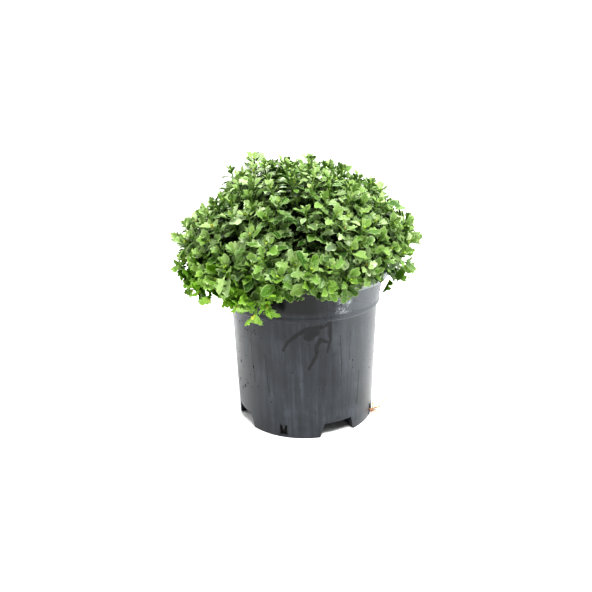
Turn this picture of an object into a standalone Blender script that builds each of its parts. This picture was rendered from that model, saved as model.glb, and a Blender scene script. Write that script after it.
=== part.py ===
"""Potted chrysanthemum: a moulded nursery pot, its potting mix, branching stems and leafy shoots.

Metres, +Z up. The origin is on the pot's axis at the level of its feet, and -Y is the front.
Azimuths are in degrees round the pot's axis, from the front towards +X.
"""

import math
import random

import bmesh
import bpy
from mathutils import Matrix, Vector

# Nursery pot. Radii are the outer ones, and each is set back from the one above it.
POT_HEIGHT = 0.175
RIM_RADIUS = 0.095
LIP_HEIGHT = 0.0075
LIP_OVERHANG = 0.0055
LIP_TOP_WIDTH = 0.0036
LIP_ROUND = 0.0008
COLLAR_HEIGHT = 0.0295
COLLAR_TAPER = 0.0046
SHOULDER_STEP = 0.0018
BEAD_HEIGHT = 0.0048
BEAD_PROUD = 0.0011
BODY_TAPER = 0.0043
WALL = 0.0014
FLOOR = 0.0018
FOOT_BEVEL = 0.0010
POT_SEGMENTS = 56

# Two crossing channels under the pot leave four hollow feet, each with a drain slot.
CHANNEL_HEIGHT = 0.0165
CHANNEL_FOOT_WIDTH = 0.0428
CHANNEL_TOP_WIDTH = 0.0330
FEET = 4
SLOT_WIDTH = 0.0082
SLOT_HEIGHT = 0.0120
SLOT_SILL = 0.0035
SLOT_TONGUE_WIDTH = 0.0048
SLOT_TONGUE_DROP = 0.0065
CUT_MARGIN = 0.010

# Potting mix
CLEARANCE = 0.0004
MIX_BELOW_RIM = 0.017
MIX_MOUND = 0.004
MIX_SEGMENTS = 40

# Stems, one for each rooted cutting
STEMS = 5
STEM_RING_RADIUS = 0.024
STEM_LEAN = 0.012
STEM_FOOT_RADIUS = 0.0032
STEM_TOP_RADIUS = 0.0022
STEM_ROOTING_DEPTH = 0.012
STEM_HEIGHT = 0.064
STEM_AZIMUTH = 20.0
STEM_SIDES = 8
FORK_ABOVE_RIM = 0.003
BRANCH_RADIUS = 0.0012
BRANCH_SIDES = 5
BRANCH_STEPS = 4
BRANCH_BEND_SHARE = 0.35
RIM_CROSSING_RISE = 0.016
RIM_CROSSING_RUN = 0.026

# Dome of foliage, given where the shoots are centred
DOME_CENTRE_ABOVE_RIM = 0.028
DOME_OVERHANG = 0.023
DOME_RISE = 0.080
DOME_SKIRT_DROP = 0.075
DOME_LOWEST_ANGLE = -15.0
DOME_UNEVENNESS = 0.003
DOME_LEAN = 0.0012
# Where the dome stands in or out: azimuth, angle and half width in degrees, and distance outward
DOME_SWELLS = (
    (-117.0, 36.0, 22.0, -0.011),
    (66.0, 36.0, 28.0, -0.009),
)
LIFTED_EDGE_AZIMUTH = 45.0
LIFTED_EDGE_ANGLE = 14.0
SHOOTS = 46
GAP_AZIMUTH = -27.0
GAP_ANGLE = 22.0
PROUD_AZIMUTH = -107.0
PROUD_ANGLE = 48.0
PROUD_RISE = 0.012

# One leafy shoot: a core with a bud on top, and leaves in two whorls
SHOOT_CORE_RADIUS = 0.0024
SHOOT_BAND = 0.0018
SHOOT_STUB = 0.0045
SHOOT_UPTURN = 0.35
BUD_HEIGHT = 0.0035
WHORL_SIDES = 8
LEAF_THICKNESS = 0.0009
LEAF_WIDTH_SHARE = 0.62
LEAF_WIDEST_SHARE = 0.6
LONGEST_LEAF = 0.024
# Share of the shoot's reach: a leaf's length, its lift at the widest place, and its tip's droop
UPPER_LEAF = (0.82, 0.26, -0.10)
LOWER_LEAF = (0.97, -0.05, 0.16)

# Shoots that hang over the rim: azimuth, distance out from the rim, and distance below it
TRAILING = {
    "trailing_shoot_left": (-107.0, 0.0240, 0.018),
    "trailing_shoot_front": (-50.0, 0.0190, 0.018),
    "trailing_shoot_right": (78.0, 0.0190, 0.019),
}
TRAILING_LEAF = 0.020
TRAILING_DROOP = 1.1

# Root that has grown out of the right-hand drain slot
SPRIG_RADIUS = 0.0009
SPRIG_SIDES = 6
SPRIG_ABOVE_SILL = 0.0016
# Azimuth from the slot's middle, distance out from the pot's base, and rise
SPRIG_PATH = (
    (0.0, 0.004, 0.0004),
    (3.0, 0.010, 0.0020),
    (5.0, 0.015, 0.0070),
)
SPRIG_FORK = (
    (0.0, 0.004, 0.0004),
    (-5.0, 0.009, -0.0006),
    (-3.0, 0.013, 0.0020),
)

SEED = 11

LIP_UNDERSIDE = POT_HEIGHT - LIP_HEIGHT
SHOULDER_HEIGHT = LIP_UNDERSIDE - COLLAR_HEIGHT
COLLAR_TOP_RADIUS = RIM_RADIUS - LIP_OVERHANG
SHOULDER_RADIUS = COLLAR_TOP_RADIUS - COLLAR_TAPER
BODY_TOP_RADIUS = SHOULDER_RADIUS - SHOULDER_STEP
BASE_RADIUS = BODY_TOP_RADIUS - BODY_TAPER
MIX_EDGE_HEIGHT = POT_HEIGHT - MIX_BELOW_RIM
STEM_TOP_HEIGHT = MIX_EDGE_HEIGHT + STEM_HEIGHT
DOME_CENTRE_HEIGHT = POT_HEIGHT + DOME_CENTRE_ABOVE_RIM
DOME_RADIUS = RIM_RADIUS + DOME_OVERHANG


def clear_scene():
    for obj in list(bpy.data.objects):
        bpy.data.objects.remove(obj, do_unlink=True)


def material(name, colour, roughness, metallic=0.0):
    mat = bpy.data.materials.new(name)
    mat.use_nodes = True
    shader = mat.node_tree.nodes["Principled BSDF"]
    shader.inputs["Base Color"].default_value = (*colour, 1.0)
    shader.inputs["Roughness"].default_value = roughness
    shader.inputs["Metallic"].default_value = metallic
    return mat


def around(azimuth, radius, height):
    """The point at this azimuth in degrees, radius and height."""
    angle = math.radians(azimuth)
    return Vector((radius * math.sin(angle), -radius * math.cos(angle), height))


def add_object(name, bm, mat=None, smooth_angle=None):
    bmesh.ops.recalc_face_normals(bm, faces=bm.faces)
    mesh = bpy.data.meshes.new(name)
    bm.to_mesh(mesh)
    bm.free()
    if smooth_angle is not None:
        mesh.shade_smooth()
        mesh.set_sharp_from_angle(angle=math.radians(smooth_angle))
    if mat:
        mesh.materials.append(mat)
    obj = bpy.data.objects.new(name, mesh)
    bpy.context.scene.collection.objects.link(obj)
    return obj


def as_cutter(obj):
    obj.hide_render = True
    obj.display_type = "WIRE"
    return obj


def boolean(obj, other, operation):
    modifier = obj.modifiers.new(other.name, "BOOLEAN")
    modifier.object = other
    modifier.operation = operation
    modifier.solver = "EXACT"
    return modifier


def turned(name, profile, segments, mat=None, smooth_angle=35.0):
    """A solid turned about Z from (radius, height) points. The profile starts and ends on the axis."""
    bm = bmesh.new()
    points = [bm.verts.new((radius, 0.0, height)) for radius, height in profile]
    edges = [bm.edges.new(pair) for pair in zip(points, points[1:])]
    bmesh.ops.spin(
        bm,
        geom=points + edges,
        cent=(0.0, 0.0, 0.0),
        axis=(0.0, 0.0, 1.0),
        angle=math.tau,
        steps=segments,
        use_merge=True,
    )
    bmesh.ops.remove_doubles(bm, verts=bm.verts, dist=1e-6)
    return add_object(name, bm, mat, smooth_angle)


def prism(name, outline, depth):
    """A prism whose outline lies in the XZ plane and which runs from -depth / 2 to depth / 2 along Y."""
    bm = bmesh.new()
    face = bm.faces.new([bm.verts.new((x, -depth / 2, z)) for x, z in outline])
    pushed = bmesh.ops.extrude_face_region(bm, geom=[face])["geom"]
    moved = [item for item in pushed if isinstance(item, bmesh.types.BMVert)]
    bmesh.ops.translate(bm, verts=moved, vec=(0.0, depth, 0.0))
    return add_object(name, bm)


def channel(name, turn, stand_off):
    """A cutter for one channel under the pot, standing off the pot's outer face by this much."""
    slope = (CHANNEL_FOOT_WIDTH - CHANNEL_TOP_WIDTH) / 2 / CHANNEL_HEIGHT
    half = CHANNEL_FOOT_WIDTH / 2 + stand_off * math.hypot(1.0, slope)
    roof = CHANNEL_HEIGHT + stand_off
    outline = [
        (-half - slope * CUT_MARGIN, -CUT_MARGIN),
        (half + slope * CUT_MARGIN, -CUT_MARGIN),
        (half - slope * roof, roof),
        (slope * roof - half, roof),
    ]
    obj = as_cutter(prism(name, outline, 2 * RIM_RADIUS + 2 * CUT_MARGIN))
    obj.rotation_euler.z = turn
    return obj


def cut_channels(obj, label, stand_off):
    for index in range(2):
        cutter = channel(f"{label}_channel_{index}", math.pi / 2 * index, stand_off)
        boolean(obj, cutter, "DIFFERENCE")


def slot_azimuth(index):
    """The drain slots are in the middle of the feet, between the channels."""
    return 360.0 / FEET * (index + 0.5)


def drain_slot(name, azimuth):
    """A cutter for one drain slot, with a tongue hanging into it from the top edge."""
    half = SLOT_WIDTH / 2
    top = SLOT_SILL + SLOT_HEIGHT
    outline = [
        (-half, SLOT_SILL),
        (half, SLOT_SILL),
        (half, top),
        (SLOT_TONGUE_WIDTH / 2, top),
        (0.0, top - SLOT_TONGUE_DROP),
        (-SLOT_TONGUE_WIDTH / 2, top),
        (-half, top),
    ]
    obj = as_cutter(prism(name, outline, CUT_MARGIN))
    obj.location = around(azimuth, BASE_RADIUS, 0.0)
    obj.rotation_euler.z = math.radians(azimuth)
    return obj


def body_radius(height):
    """Outer radius of the pot's tapered body at this height."""
    return BASE_RADIUS + BODY_TAPER * height / SHOULDER_HEIGHT


def collar_radius(height):
    """Outer radius of the collar, between the shoulder and the lip."""
    return SHOULDER_RADIUS + COLLAR_TAPER * (height - SHOULDER_HEIGHT) / COLLAR_HEIGHT


def build_pot(mat):
    """The pot, with a bead round its shoulder, cut out by its inside, the channels and the slots."""
    bead_top = SHOULDER_HEIGHT + BEAD_HEIGHT
    pot = turned(
        "nursery_pot",
        [
            (0.0, POT_HEIGHT),
            (RIM_RADIUS - LIP_ROUND, POT_HEIGHT),
            (RIM_RADIUS, POT_HEIGHT - LIP_ROUND),
            (RIM_RADIUS, LIP_UNDERSIDE),
            (COLLAR_TOP_RADIUS, LIP_UNDERSIDE),
            (collar_radius(bead_top), bead_top),
            (SHOULDER_RADIUS + BEAD_PROUD, SHOULDER_HEIGHT + BEAD_HEIGHT / 2),
            (SHOULDER_RADIUS + BEAD_PROUD, SHOULDER_HEIGHT),
            (BODY_TOP_RADIUS, SHOULDER_HEIGHT - SHOULDER_STEP),
            (body_radius(FOOT_BEVEL), FOOT_BEVEL),
            (BASE_RADIUS - FOOT_BEVEL, 0.0),
            (0.0, 0.0),
        ],
        POT_SEGMENTS,
        mat,
    )
    inside = turned(
        "pot_inside",
        [
            (0.0, POT_HEIGHT + CUT_MARGIN),
            (RIM_RADIUS - LIP_TOP_WIDTH, POT_HEIGHT + CUT_MARGIN),
            (RIM_RADIUS - LIP_TOP_WIDTH, POT_HEIGHT - LIP_ROUND),
            (COLLAR_TOP_RADIUS - WALL, LIP_UNDERSIDE),
            (SHOULDER_RADIUS - WALL, SHOULDER_HEIGHT),
            (BODY_TOP_RADIUS - WALL, SHOULDER_HEIGHT - SHOULDER_STEP - WALL),
            (body_radius(FLOOR) - WALL, FLOOR),
            (0.0, FLOOR),
        ],
        POT_SEGMENTS,
    )
    cut_channels(pot, "pot", 0.0)
    cut_channels(inside, "inside", WALL)
    boolean(pot, as_cutter(inside), "DIFFERENCE")
    for index in range(FEET):
        cutter = drain_slot(f"drain_slot_{index}", slot_azimuth(index))
        boolean(pot, cutter, "DIFFERENCE")
    return pot


def build_potting_mix(mat):
    """The mix fills the pot and its feet, and each stem stands in a pit of its own shape."""
    gap = WALL + CLEARANCE
    edge = collar_radius(MIX_EDGE_HEIGHT) - gap
    bottom = FLOOR + CLEARANCE
    # The mix has fewer sides than the pot, so its corners stay inside the pot's flats.
    flat = math.cos(math.pi / POT_SEGMENTS)
    profile = [
        (0.0, MIX_EDGE_HEIGHT + MIX_MOUND),
        (edge * 0.6, MIX_EDGE_HEIGHT + MIX_MOUND * 0.6),
        (edge, MIX_EDGE_HEIGHT),
        (SHOULDER_RADIUS - gap, SHOULDER_HEIGHT),
        (BODY_TOP_RADIUS - gap, SHOULDER_HEIGHT - SHOULDER_STEP - WALL),
        (body_radius(bottom) - gap, bottom),
        (0.0, bottom),
    ]
    inset = [(radius * flat, height) for radius, height in profile]
    mix = turned("potting_mix", inset, MIX_SEGMENTS, mat, smooth_angle=30.0)
    cut_channels(mix, "mix", gap)
    for index in range(STEMS):
        foot, top = stem_line(index)
        radius = STEM_FOOT_RADIUS + CLEARANCE
        below = (foot - top).normalized() * CLEARANCE
        pit = tube(f"pit_{index}", [foot + below, top], [radius, radius], STEM_SIDES)
        boolean(mix, as_cutter(pit), "DIFFERENCE")
    return mix


def tube(name, path, radii, sides, mat=None):
    """A closed tube along a path, with a radius at each of its points."""
    bm = bmesh.new()
    rings = []
    side_way = Vector((1.0, 0.0, 0.0))
    for index, point in enumerate(path):
        ahead = path[min(index + 1, len(path) - 1)] - path[max(index - 1, 0)]
        ahead.normalize()
        side_way = (side_way - ahead * side_way.dot(ahead)).normalized()
        other_way = ahead.cross(side_way)
        ring = []
        for side in range(sides):
            angle = math.tau * side / sides
            offset = side_way * math.cos(angle) + other_way * math.sin(angle)
            ring.append(bm.verts.new(point + offset * radii[index]))
        rings.append(ring)
    for low, high in zip(rings, rings[1:]):
        for side in range(sides):
            after = (side + 1) % sides
            bm.faces.new([low[side], low[after], high[after], high[side]])
    bm.faces.new(rings[0][::-1])
    bm.faces.new(rings[-1])
    return add_object(name, bm, mat, smooth_angle=60.0)


def bezier(start, middle, end, steps):
    points = []
    for index in range(steps + 1):
        share = index / steps
        points.append(
            start * (1 - share) ** 2 + middle * 2 * share * (1 - share) + end * share**2
        )
    return points


def dome_direction(azimuth, angle):
    """Unit vector from the dome's centre at this azimuth and angle above the horizontal."""
    across = around(azimuth, math.cos(math.radians(angle)), 0.0)
    return Vector((across.x, across.y, math.sin(math.radians(angle))))


def dome_point(direction, raised):
    """The point of the dome in this direction, and the way the dome faces there."""
    upward = DOME_RISE if direction.z > 0 else DOME_SKIRT_DROP
    point = Vector((-DOME_LEAN, 0.0, DOME_CENTRE_HEIGHT + direction.z * upward))
    point += Vector((direction.x, direction.y, 0.0)) * DOME_RADIUS
    facing = Vector((direction.x, direction.y, direction.z * DOME_RADIUS / upward))
    facing.normalize()
    return point + facing * raised, facing


def edge_lift(azimuth, angle):
    """How far up one side of the dome's edge is lifted: most at the edge itself, none at the top."""
    toward = max(0.0, math.cos(math.radians(azimuth - LIFTED_EDGE_AZIMUTH)))
    return LIFTED_EDGE_ANGLE * toward**2 * (90.0 - angle) / (90.0 - DOME_LOWEST_ANGLE)


def swell(direction):
    """How far the dome stands out in this direction."""
    outward = 0.0
    for azimuth, angle, width, amount in DOME_SWELLS:
        away = math.degrees(direction.angle(dome_direction(azimuth, angle)))
        outward += amount * math.exp(-((away / width) ** 2))
    return outward


def dome_shoots():
    """(centre, axis) of each shoot: a golden-angle spiral over the dome, with one gap at the front."""
    rng = random.Random(SEED)
    golden_angle = math.degrees(math.pi * (3.0 - math.sqrt(5.0)))
    lowest = math.sin(math.radians(DOME_LOWEST_ANGLE))
    count = SHOOTS + 1
    directions = []
    for index in range(count):
        height = 1.0 - (1.0 - lowest) * (index + 0.5) / count
        angle = math.degrees(math.asin(height))
        azimuth = index * golden_angle
        directions.append(dome_direction(azimuth, angle + edge_lift(azimuth, angle)))
    gap = dome_direction(GAP_AZIMUTH, GAP_ANGLE)
    directions.remove(max(directions, key=gap.dot))
    proud = max(directions, key=dome_direction(PROUD_AZIMUTH, PROUD_ANGLE).dot)
    shoots = []
    for direction in directions:
        raised = rng.uniform(-1.0, 1.0) * DOME_UNEVENNESS
        if direction is proud:
            raised = PROUD_RISE
        point, facing = dome_point(direction, raised + swell(direction))
        axis = (facing + Vector((0.0, 0.0, SHOOT_UPTURN))).normalized()
        shoots.append((point, axis))
    return shoots


def trailing_shoots():
    """(centre, axis) of each shoot that hangs over the rim, by name."""
    shoots = {}
    for name, (azimuth, beyond_rim, below_rim) in TRAILING.items():
        centre = around(azimuth, RIM_RADIUS + beyond_rim, POT_HEIGHT - below_rim)
        downward = around(azimuth, 1.0, -TRAILING_DROOP)
        shoots[name] = (centre, downward.normalized())
    return shoots


def grow_leaf(bm, face, reach, shape):
    """Pulls a core's side face out into a blade that is widest past its middle and ends in a point."""
    length, lift, droop = (share * reach for share in shape)
    centre = face.calc_center_median()
    outward = Vector((centre.x, centre.y, 0.0)).normalized()
    sideways = Vector((-outward.y, outward.x, 0.0))
    half_width = length * LEAF_WIDTH_SHARE / 2
    blade = bmesh.ops.extrude_discrete_faces(bm, faces=[face])["faces"][0]
    for vertex in blade.verts:
        side = math.copysign(half_width, (vertex.co - centre).dot(sideways))
        level = math.copysign(LEAF_THICKNESS / 2, vertex.co.z - centre.z)
        vertex.co = outward * length * LEAF_WIDEST_SHARE + sideways * side
        vertex.co.z = lift + level
    tip = bmesh.ops.poke(bm, faces=[blade])["verts"][0]
    tip.co = outward * length + Vector((0.0, 0.0, lift - droop))


def ring_of(bm, radius, height, sides):
    ring = []
    for side in range(sides):
        angle = math.tau * side / sides
        place = (radius * math.cos(angle), radius * math.sin(angle), height)
        ring.append(bm.verts.new(place))
    return ring


def band_between(bm, low, high):
    """Side faces between two rings with the same number of points."""
    faces = []
    for side in range(len(low)):
        after = (side + 1) % len(low)
        faces.append(bm.faces.new([low[side], low[after], high[after], high[side]]))
    return faces


def build_shoot(name, centre, axis, reach, spin, mat):
    """Eight leaves in two whorls round a short core, with a bud above and a stub of stem below."""
    bm = bmesh.new()
    top = ring_of(bm, SHOOT_CORE_RADIUS, SHOOT_BAND, WHORL_SIDES)
    middle = ring_of(bm, SHOOT_CORE_RADIUS, 0.0, WHORL_SIDES)
    bottom = ring_of(bm, SHOOT_CORE_RADIUS, -SHOOT_BAND, WHORL_SIDES)
    foot = ring_of(bm, BRANCH_RADIUS, -SHOOT_BAND - SHOOT_STUB, WHORL_SIDES)
    upper_whorl = band_between(bm, middle, top)
    lower_whorl = band_between(bm, bottom, middle)
    band_between(bm, foot, bottom)
    bm.faces.new(foot[::-1])
    bud = bm.verts.new((0.0, 0.0, SHOOT_BAND + BUD_HEIGHT))
    for side in range(WHORL_SIDES):
        bm.faces.new([top[side], top[(side + 1) % WHORL_SIDES], bud])
    for face in upper_whorl[1::2]:
        grow_leaf(bm, face, reach, UPPER_LEAF)
    for face in lower_whorl[0::2]:
        grow_leaf(bm, face, reach, LOWER_LEAF)
    obj = add_object(name, bm, mat, smooth_angle=25.0)
    turn = axis.to_track_quat("Z", "Y").to_matrix().to_4x4()
    obj.matrix_world = Matrix.Translation(centre) @ turn @ Matrix.Rotation(spin, 4, "Z")
    return obj


def stem_line(index):
    """(foot, top) of a main stem's centre line."""
    azimuth = STEM_AZIMUTH + 360.0 / STEMS * index
    foot = around(azimuth, STEM_RING_RADIUS, MIX_EDGE_HEIGHT - STEM_ROOTING_DEPTH)
    top = around(azimuth, STEM_RING_RADIUS + STEM_LEAN, STEM_TOP_HEIGHT)
    return foot, top


def branch_path(start, centre, axis):
    """A branch's path to its shoot. A shoot that hangs outside the pot is reached over the rim."""
    end = centre - axis * (SHOOT_BAND + SHOOT_STUB + CLEARANCE)
    if end.z > POT_HEIGHT:
        middle = end - axis * (end - start).length * BRANCH_BEND_SHARE
        middle.z = max(middle.z, POT_HEIGHT + RIM_CROSSING_RISE / 2)
        return bezier(start, middle, end, BRANCH_STEPS)
    outward = Vector((end.x, end.y, 0.0)).normalized()
    over = outward * RIM_RADIUS
    over.z = POT_HEIGHT + RIM_CROSSING_RISE
    rising = bezier(start, (start + over) / 2, over, BRANCH_STEPS - 1)
    hanging = bezier(over, end - axis * RIM_CROSSING_RUN, end, BRANCH_STEPS - 1)
    return rising + hanging[1:]


def build_stem(name, index, shoots, mat):
    """A main stem with a branch to each of its shoots. The higher the shoot, the higher its fork."""
    foot, top = stem_line(index)
    stem = tube(name, [foot, top], [STEM_FOOT_RADIUS, STEM_TOP_RADIUS], STEM_SIDES, mat)
    lowest_fork = POT_HEIGHT + FORK_ABOVE_RIM
    highest_fork = STEM_TOP_HEIGHT - 2 * BRANCH_RADIUS
    lowest = min(centre.z for centre, _ in shoots)
    highest = max(centre.z for centre, _ in shoots)
    for number, (centre, axis) in enumerate(shoots):
        rank = (centre.z - lowest) / (highest - lowest)
        fork = lowest_fork + (highest_fork - lowest_fork) * rank
        start = foot.lerp(top, (fork - foot.z) / (top.z - foot.z))
        path = branch_path(start, centre, axis)
        radii = [BRANCH_RADIUS] * len(path)
        branch = tube(f"{name}_branch_{number}", path, radii, BRANCH_SIDES)
        boolean(stem, as_cutter(branch), "UNION")
    return stem


def nearest_stem(point):
    azimuth = math.degrees(math.atan2(point.x, -point.y))
    return round((azimuth - STEM_AZIMUTH) / (360.0 / STEMS)) % STEMS


def build_sprig(mat):
    """A forked root that starts inside the wall of the right-hand slot and ends outside the pot."""
    middle = slot_azimuth(0)
    level = SLOT_SILL + SPRIG_ABOVE_SILL

    def placed(path):
        return [around(middle + a, BASE_RADIUS + out, level + up) for a, out, up in path]

    path = [around(middle, BASE_RADIUS - WALL, level)] + placed(SPRIG_PATH)
    sprig = tube("root_sprig", path, [SPRIG_RADIUS] * len(path), SPRIG_SIDES, mat)
    fork = placed(SPRIG_FORK)
    thin = [SPRIG_RADIUS * 0.8] * len(fork)
    branch = tube("root_sprig_fork", fork, thin, SPRIG_SIDES)
    boolean(sprig, as_cutter(branch), "UNION")
    return sprig


def reaches(centres):
    """How far each shoot's leaves can reach: half of the way to the nearest shoot, less a clearance."""
    found = []
    for centre in centres:
        others = [other for other in centres if other is not centre]
        nearest = min((centre - other).length for other in others)
        found.append(nearest / 2 - CLEARANCE)
    return found


def main():
    clear_scene()
    plastic = material("charcoal_polypropylene", (0.052, 0.056, 0.062), 0.42)
    peat = material("peat_potting_mix", (0.045, 0.026, 0.016), 0.95)
    stem_green = material("chrysanthemum_stem", (0.20, 0.22, 0.07), 0.65)
    leaf_green = material("chrysanthemum_leaf", (0.13, 0.30, 0.045), 0.50)
    root = material("pale_root", (0.55, 0.30, 0.16), 0.75)

    build_pot(plastic)
    build_potting_mix(peat)
    shoots = {f"shoot_{n:02d}": pair for n, pair in enumerate(dome_shoots(), 1)}
    shoots.update(trailing_shoots())
    spans = reaches([centre for centre, _ in shoots.values()])
    rng = random.Random(SEED + 1)
    for (name, (centre, axis)), span in zip(shoots.items(), spans):
        reach = min(span, TRAILING_LEAF if name in TRAILING else LONGEST_LEAF)
        build_shoot(name, centre, axis, reach, rng.uniform(0.0, math.tau), leaf_green)
    for index in range(STEMS):
        mine = [pair for pair in shoots.values() if nearest_stem(pair[0]) == index]
        build_stem(f"stem_{index + 1}", index, mine, stem_green)
    build_sprig(root)


main()
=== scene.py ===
import math
import random

import bmesh
import bpy
from mathutils import Matrix, Vector, noise


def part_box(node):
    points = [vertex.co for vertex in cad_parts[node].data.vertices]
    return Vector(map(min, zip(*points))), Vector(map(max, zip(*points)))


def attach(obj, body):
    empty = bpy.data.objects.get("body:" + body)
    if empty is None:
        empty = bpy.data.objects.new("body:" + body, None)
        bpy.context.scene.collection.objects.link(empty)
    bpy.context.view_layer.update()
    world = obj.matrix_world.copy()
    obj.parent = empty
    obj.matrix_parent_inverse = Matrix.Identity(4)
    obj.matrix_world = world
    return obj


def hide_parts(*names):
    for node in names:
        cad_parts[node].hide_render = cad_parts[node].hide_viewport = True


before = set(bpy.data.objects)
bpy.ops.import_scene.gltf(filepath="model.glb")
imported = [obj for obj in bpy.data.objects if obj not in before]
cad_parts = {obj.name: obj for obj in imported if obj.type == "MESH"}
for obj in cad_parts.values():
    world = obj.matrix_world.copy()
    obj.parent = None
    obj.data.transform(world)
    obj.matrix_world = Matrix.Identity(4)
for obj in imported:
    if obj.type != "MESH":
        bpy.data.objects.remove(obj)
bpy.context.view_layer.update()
upward = Vector((0.0, 0.0, 1.0))
goldenAngle = math.pi * (3.0 - math.sqrt(5.0))
print("frame loaded")


def linearColour(code):
    channels = [int(code[start:start + 2], 16) / 255 for start in (1, 3, 5)]
    linear = [c / 12.92 if c <= 0.04045 else ((c + 0.055) / 1.055) ** 2.4 for c in channels]
    return (*linear, 1.0)


def addNode(tree, kind, *sources, output=0, stops=(), **settings):
    # sources are the inputs in order, or one dictionary of them: a socket is linked and a plain
    # value is set. One output comes back, or all of them when output is None.
    node = tree.nodes.new(kind)
    for name, value in settings.items():
        setattr(node, name, value)
    if not (sources and isinstance(sources[0], dict)):
        sources = [dict(enumerate(sources))]
    for place, source in sources[0].items():
        if isinstance(source, bpy.types.NodeSocket):
            tree.links.new(source, node.inputs[place])
        else:
            node.inputs[place].default_value = source
    for index, (position, code) in enumerate(stops):
        elements = node.color_ramp.elements
        element = elements[index] if index < len(elements) else elements.new(position)
        element.position, element.color = position, linearColour(code)
    return node.outputs if output is None or not node.outputs else node.outputs[output]


def addSteps(tree, known, steps):
    # steps are (name, operation, sources): a maths operation, a range, or a tint by a share. A
    # source can be the name of an earlier result.
    for name, operation, *sources in steps:
        sources = [known.get(source, source) for source in sources]
        kind, settings = "ShaderNodeMath", {"operation": operation}
        if operation == "range":
            kind, settings = "ShaderNodeMapRange", {}
        elif operation == "tint":
            kind, settings = "ShaderNodeMix", {"output": 2, "data_type": "RGBA"}
            sources = [{0: sources[0], 6: sources[1], 7: linearColour(sources[2])}]
        known[name] = addNode(tree, kind, *sources, **settings)


def newMaterial(name):
    material = bpy.data.materials.new(name)
    material.use_nodes = True
    material.node_tree.nodes.clear()
    return material, material.node_tree


def meshObject(name, bm, material=None, smooth=True):
    mesh = bpy.data.meshes.new(name)
    bm.to_mesh(mesh)
    bm.free()
    if smooth:
        mesh.shade_smooth()
    if material:
        mesh.materials.append(material)
    obj = bpy.data.objects.new(name, mesh)
    bpy.context.scene.collection.objects.link(obj)
    return obj


def plainMesh(obj, name):
    # the evaluated object becomes a plain mesh, and the object it came from goes
    graph = bpy.context.evaluated_depsgraph_get()
    mesh = bpy.data.meshes.new_from_object(obj.evaluated_get(graph))
    bpy.data.objects.remove(obj)
    mesh.name = name
    result = bpy.data.objects.new(name, mesh)
    bpy.context.scene.collection.objects.link(result)
    return result


def place(piece, slot, *nodes):
    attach(piece, "root")
    if nodes:
        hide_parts(*nodes)


def ringPoints(corners, radius):
    # places round a circle in its own plane
    angles = [math.tau * corner / corners for corner in range(corners)]
    return [(radius * math.cos(angle), radius * math.sin(angle)) for angle in angles]


def around(azimuth, radius, height):
    angle = math.radians(azimuth)
    return Vector((radius * math.sin(angle), -radius * math.cos(angle), height))


def boxCentre(node):
    low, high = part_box(node)
    return (low + high) / 2


cameraSettings = {
    "target": (0.0, 0.0, 0.090),
    "distance": 0.700,
    "elevation": 0.3754,
    "azimuth": -26.6,
    "aimUp": 0.0666,
    "aimRight": -0.0142,
    "roll": -0.0221,
    "lens": 36.18,
}


def makeCamera():
    s = cameraSettings
    turn = Matrix.Rotation(math.radians(s["azimuth"]), 4, "Z")
    back = Vector((0.0, -math.cos(s["elevation"]), math.sin(s["elevation"])))
    location = Vector(s["target"]) + back * s["distance"]
    pitch = s["aimUp"] - s["elevation"]
    forward = Vector((
        math.sin(s["aimRight"]) * math.cos(pitch),
        math.cos(s["aimRight"]) * math.cos(pitch),
        math.sin(pitch),
    ))
    right = forward.cross(upward).normalized()
    up = right.cross(forward)
    leftOver, kept = math.sin(s["roll"]), math.cos(s["roll"])
    rolledRight = right * kept + up * leftOver
    rolledUp = up * kept - right * leftOver
    rotation = Matrix((rolledRight, rolledUp, -forward)).transposed().to_4x4()
    data = bpy.data.cameras.new("camera")
    data.lens = s["lens"]
    data.sensor_width = 36.0
    data.clip_start = 0.01
    camera = bpy.data.objects.new("camera", data)
    camera.matrix_world = turn @ Matrix.Translation(location) @ rotation
    bpy.context.scene.collection.objects.link(camera)
    bpy.context.scene.camera = camera


lightSettings = {
    # brightness of the sky: height of the view direction, then strength
    "sky": ((0.16, 1.03), (0.32, 0.24)),
    # azimuth, elevation, spread in degrees, strength
    "suns": {
        "highSoftLight": (0.0, 68.0, 36.0, 2.9),
        "leftBackLight": (-120.0, 40.0, 50.0, 0.9),
    },
    # azimuth, distance, height, size, watts
    "softboxes": {
        "sparkleLamp": (-15.0, 0.8, 1.3, 0.25, 12.0),
        "backSoftbox": (165.0, 0.9, 1.1, 0.7, 14.0),
        "rightWindow": (66.0, 1.10, 0.80, 1.3, 10.0),
    },
    "floorColour": "#f2f2f1",
    "floorRadius": 12.0,
}


def addLamp(name, kind, location, target, **settings):
    data = bpy.data.lights.new(name, kind)
    for key, value in settings.items():
        setattr(data, key, value)
    lamp = bpy.data.objects.new(name, data)
    lamp.location = location
    lamp.rotation_euler = (target - location).to_track_quat("-Z", "Y").to_euler()
    bpy.context.scene.collection.objects.link(lamp)


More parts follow.
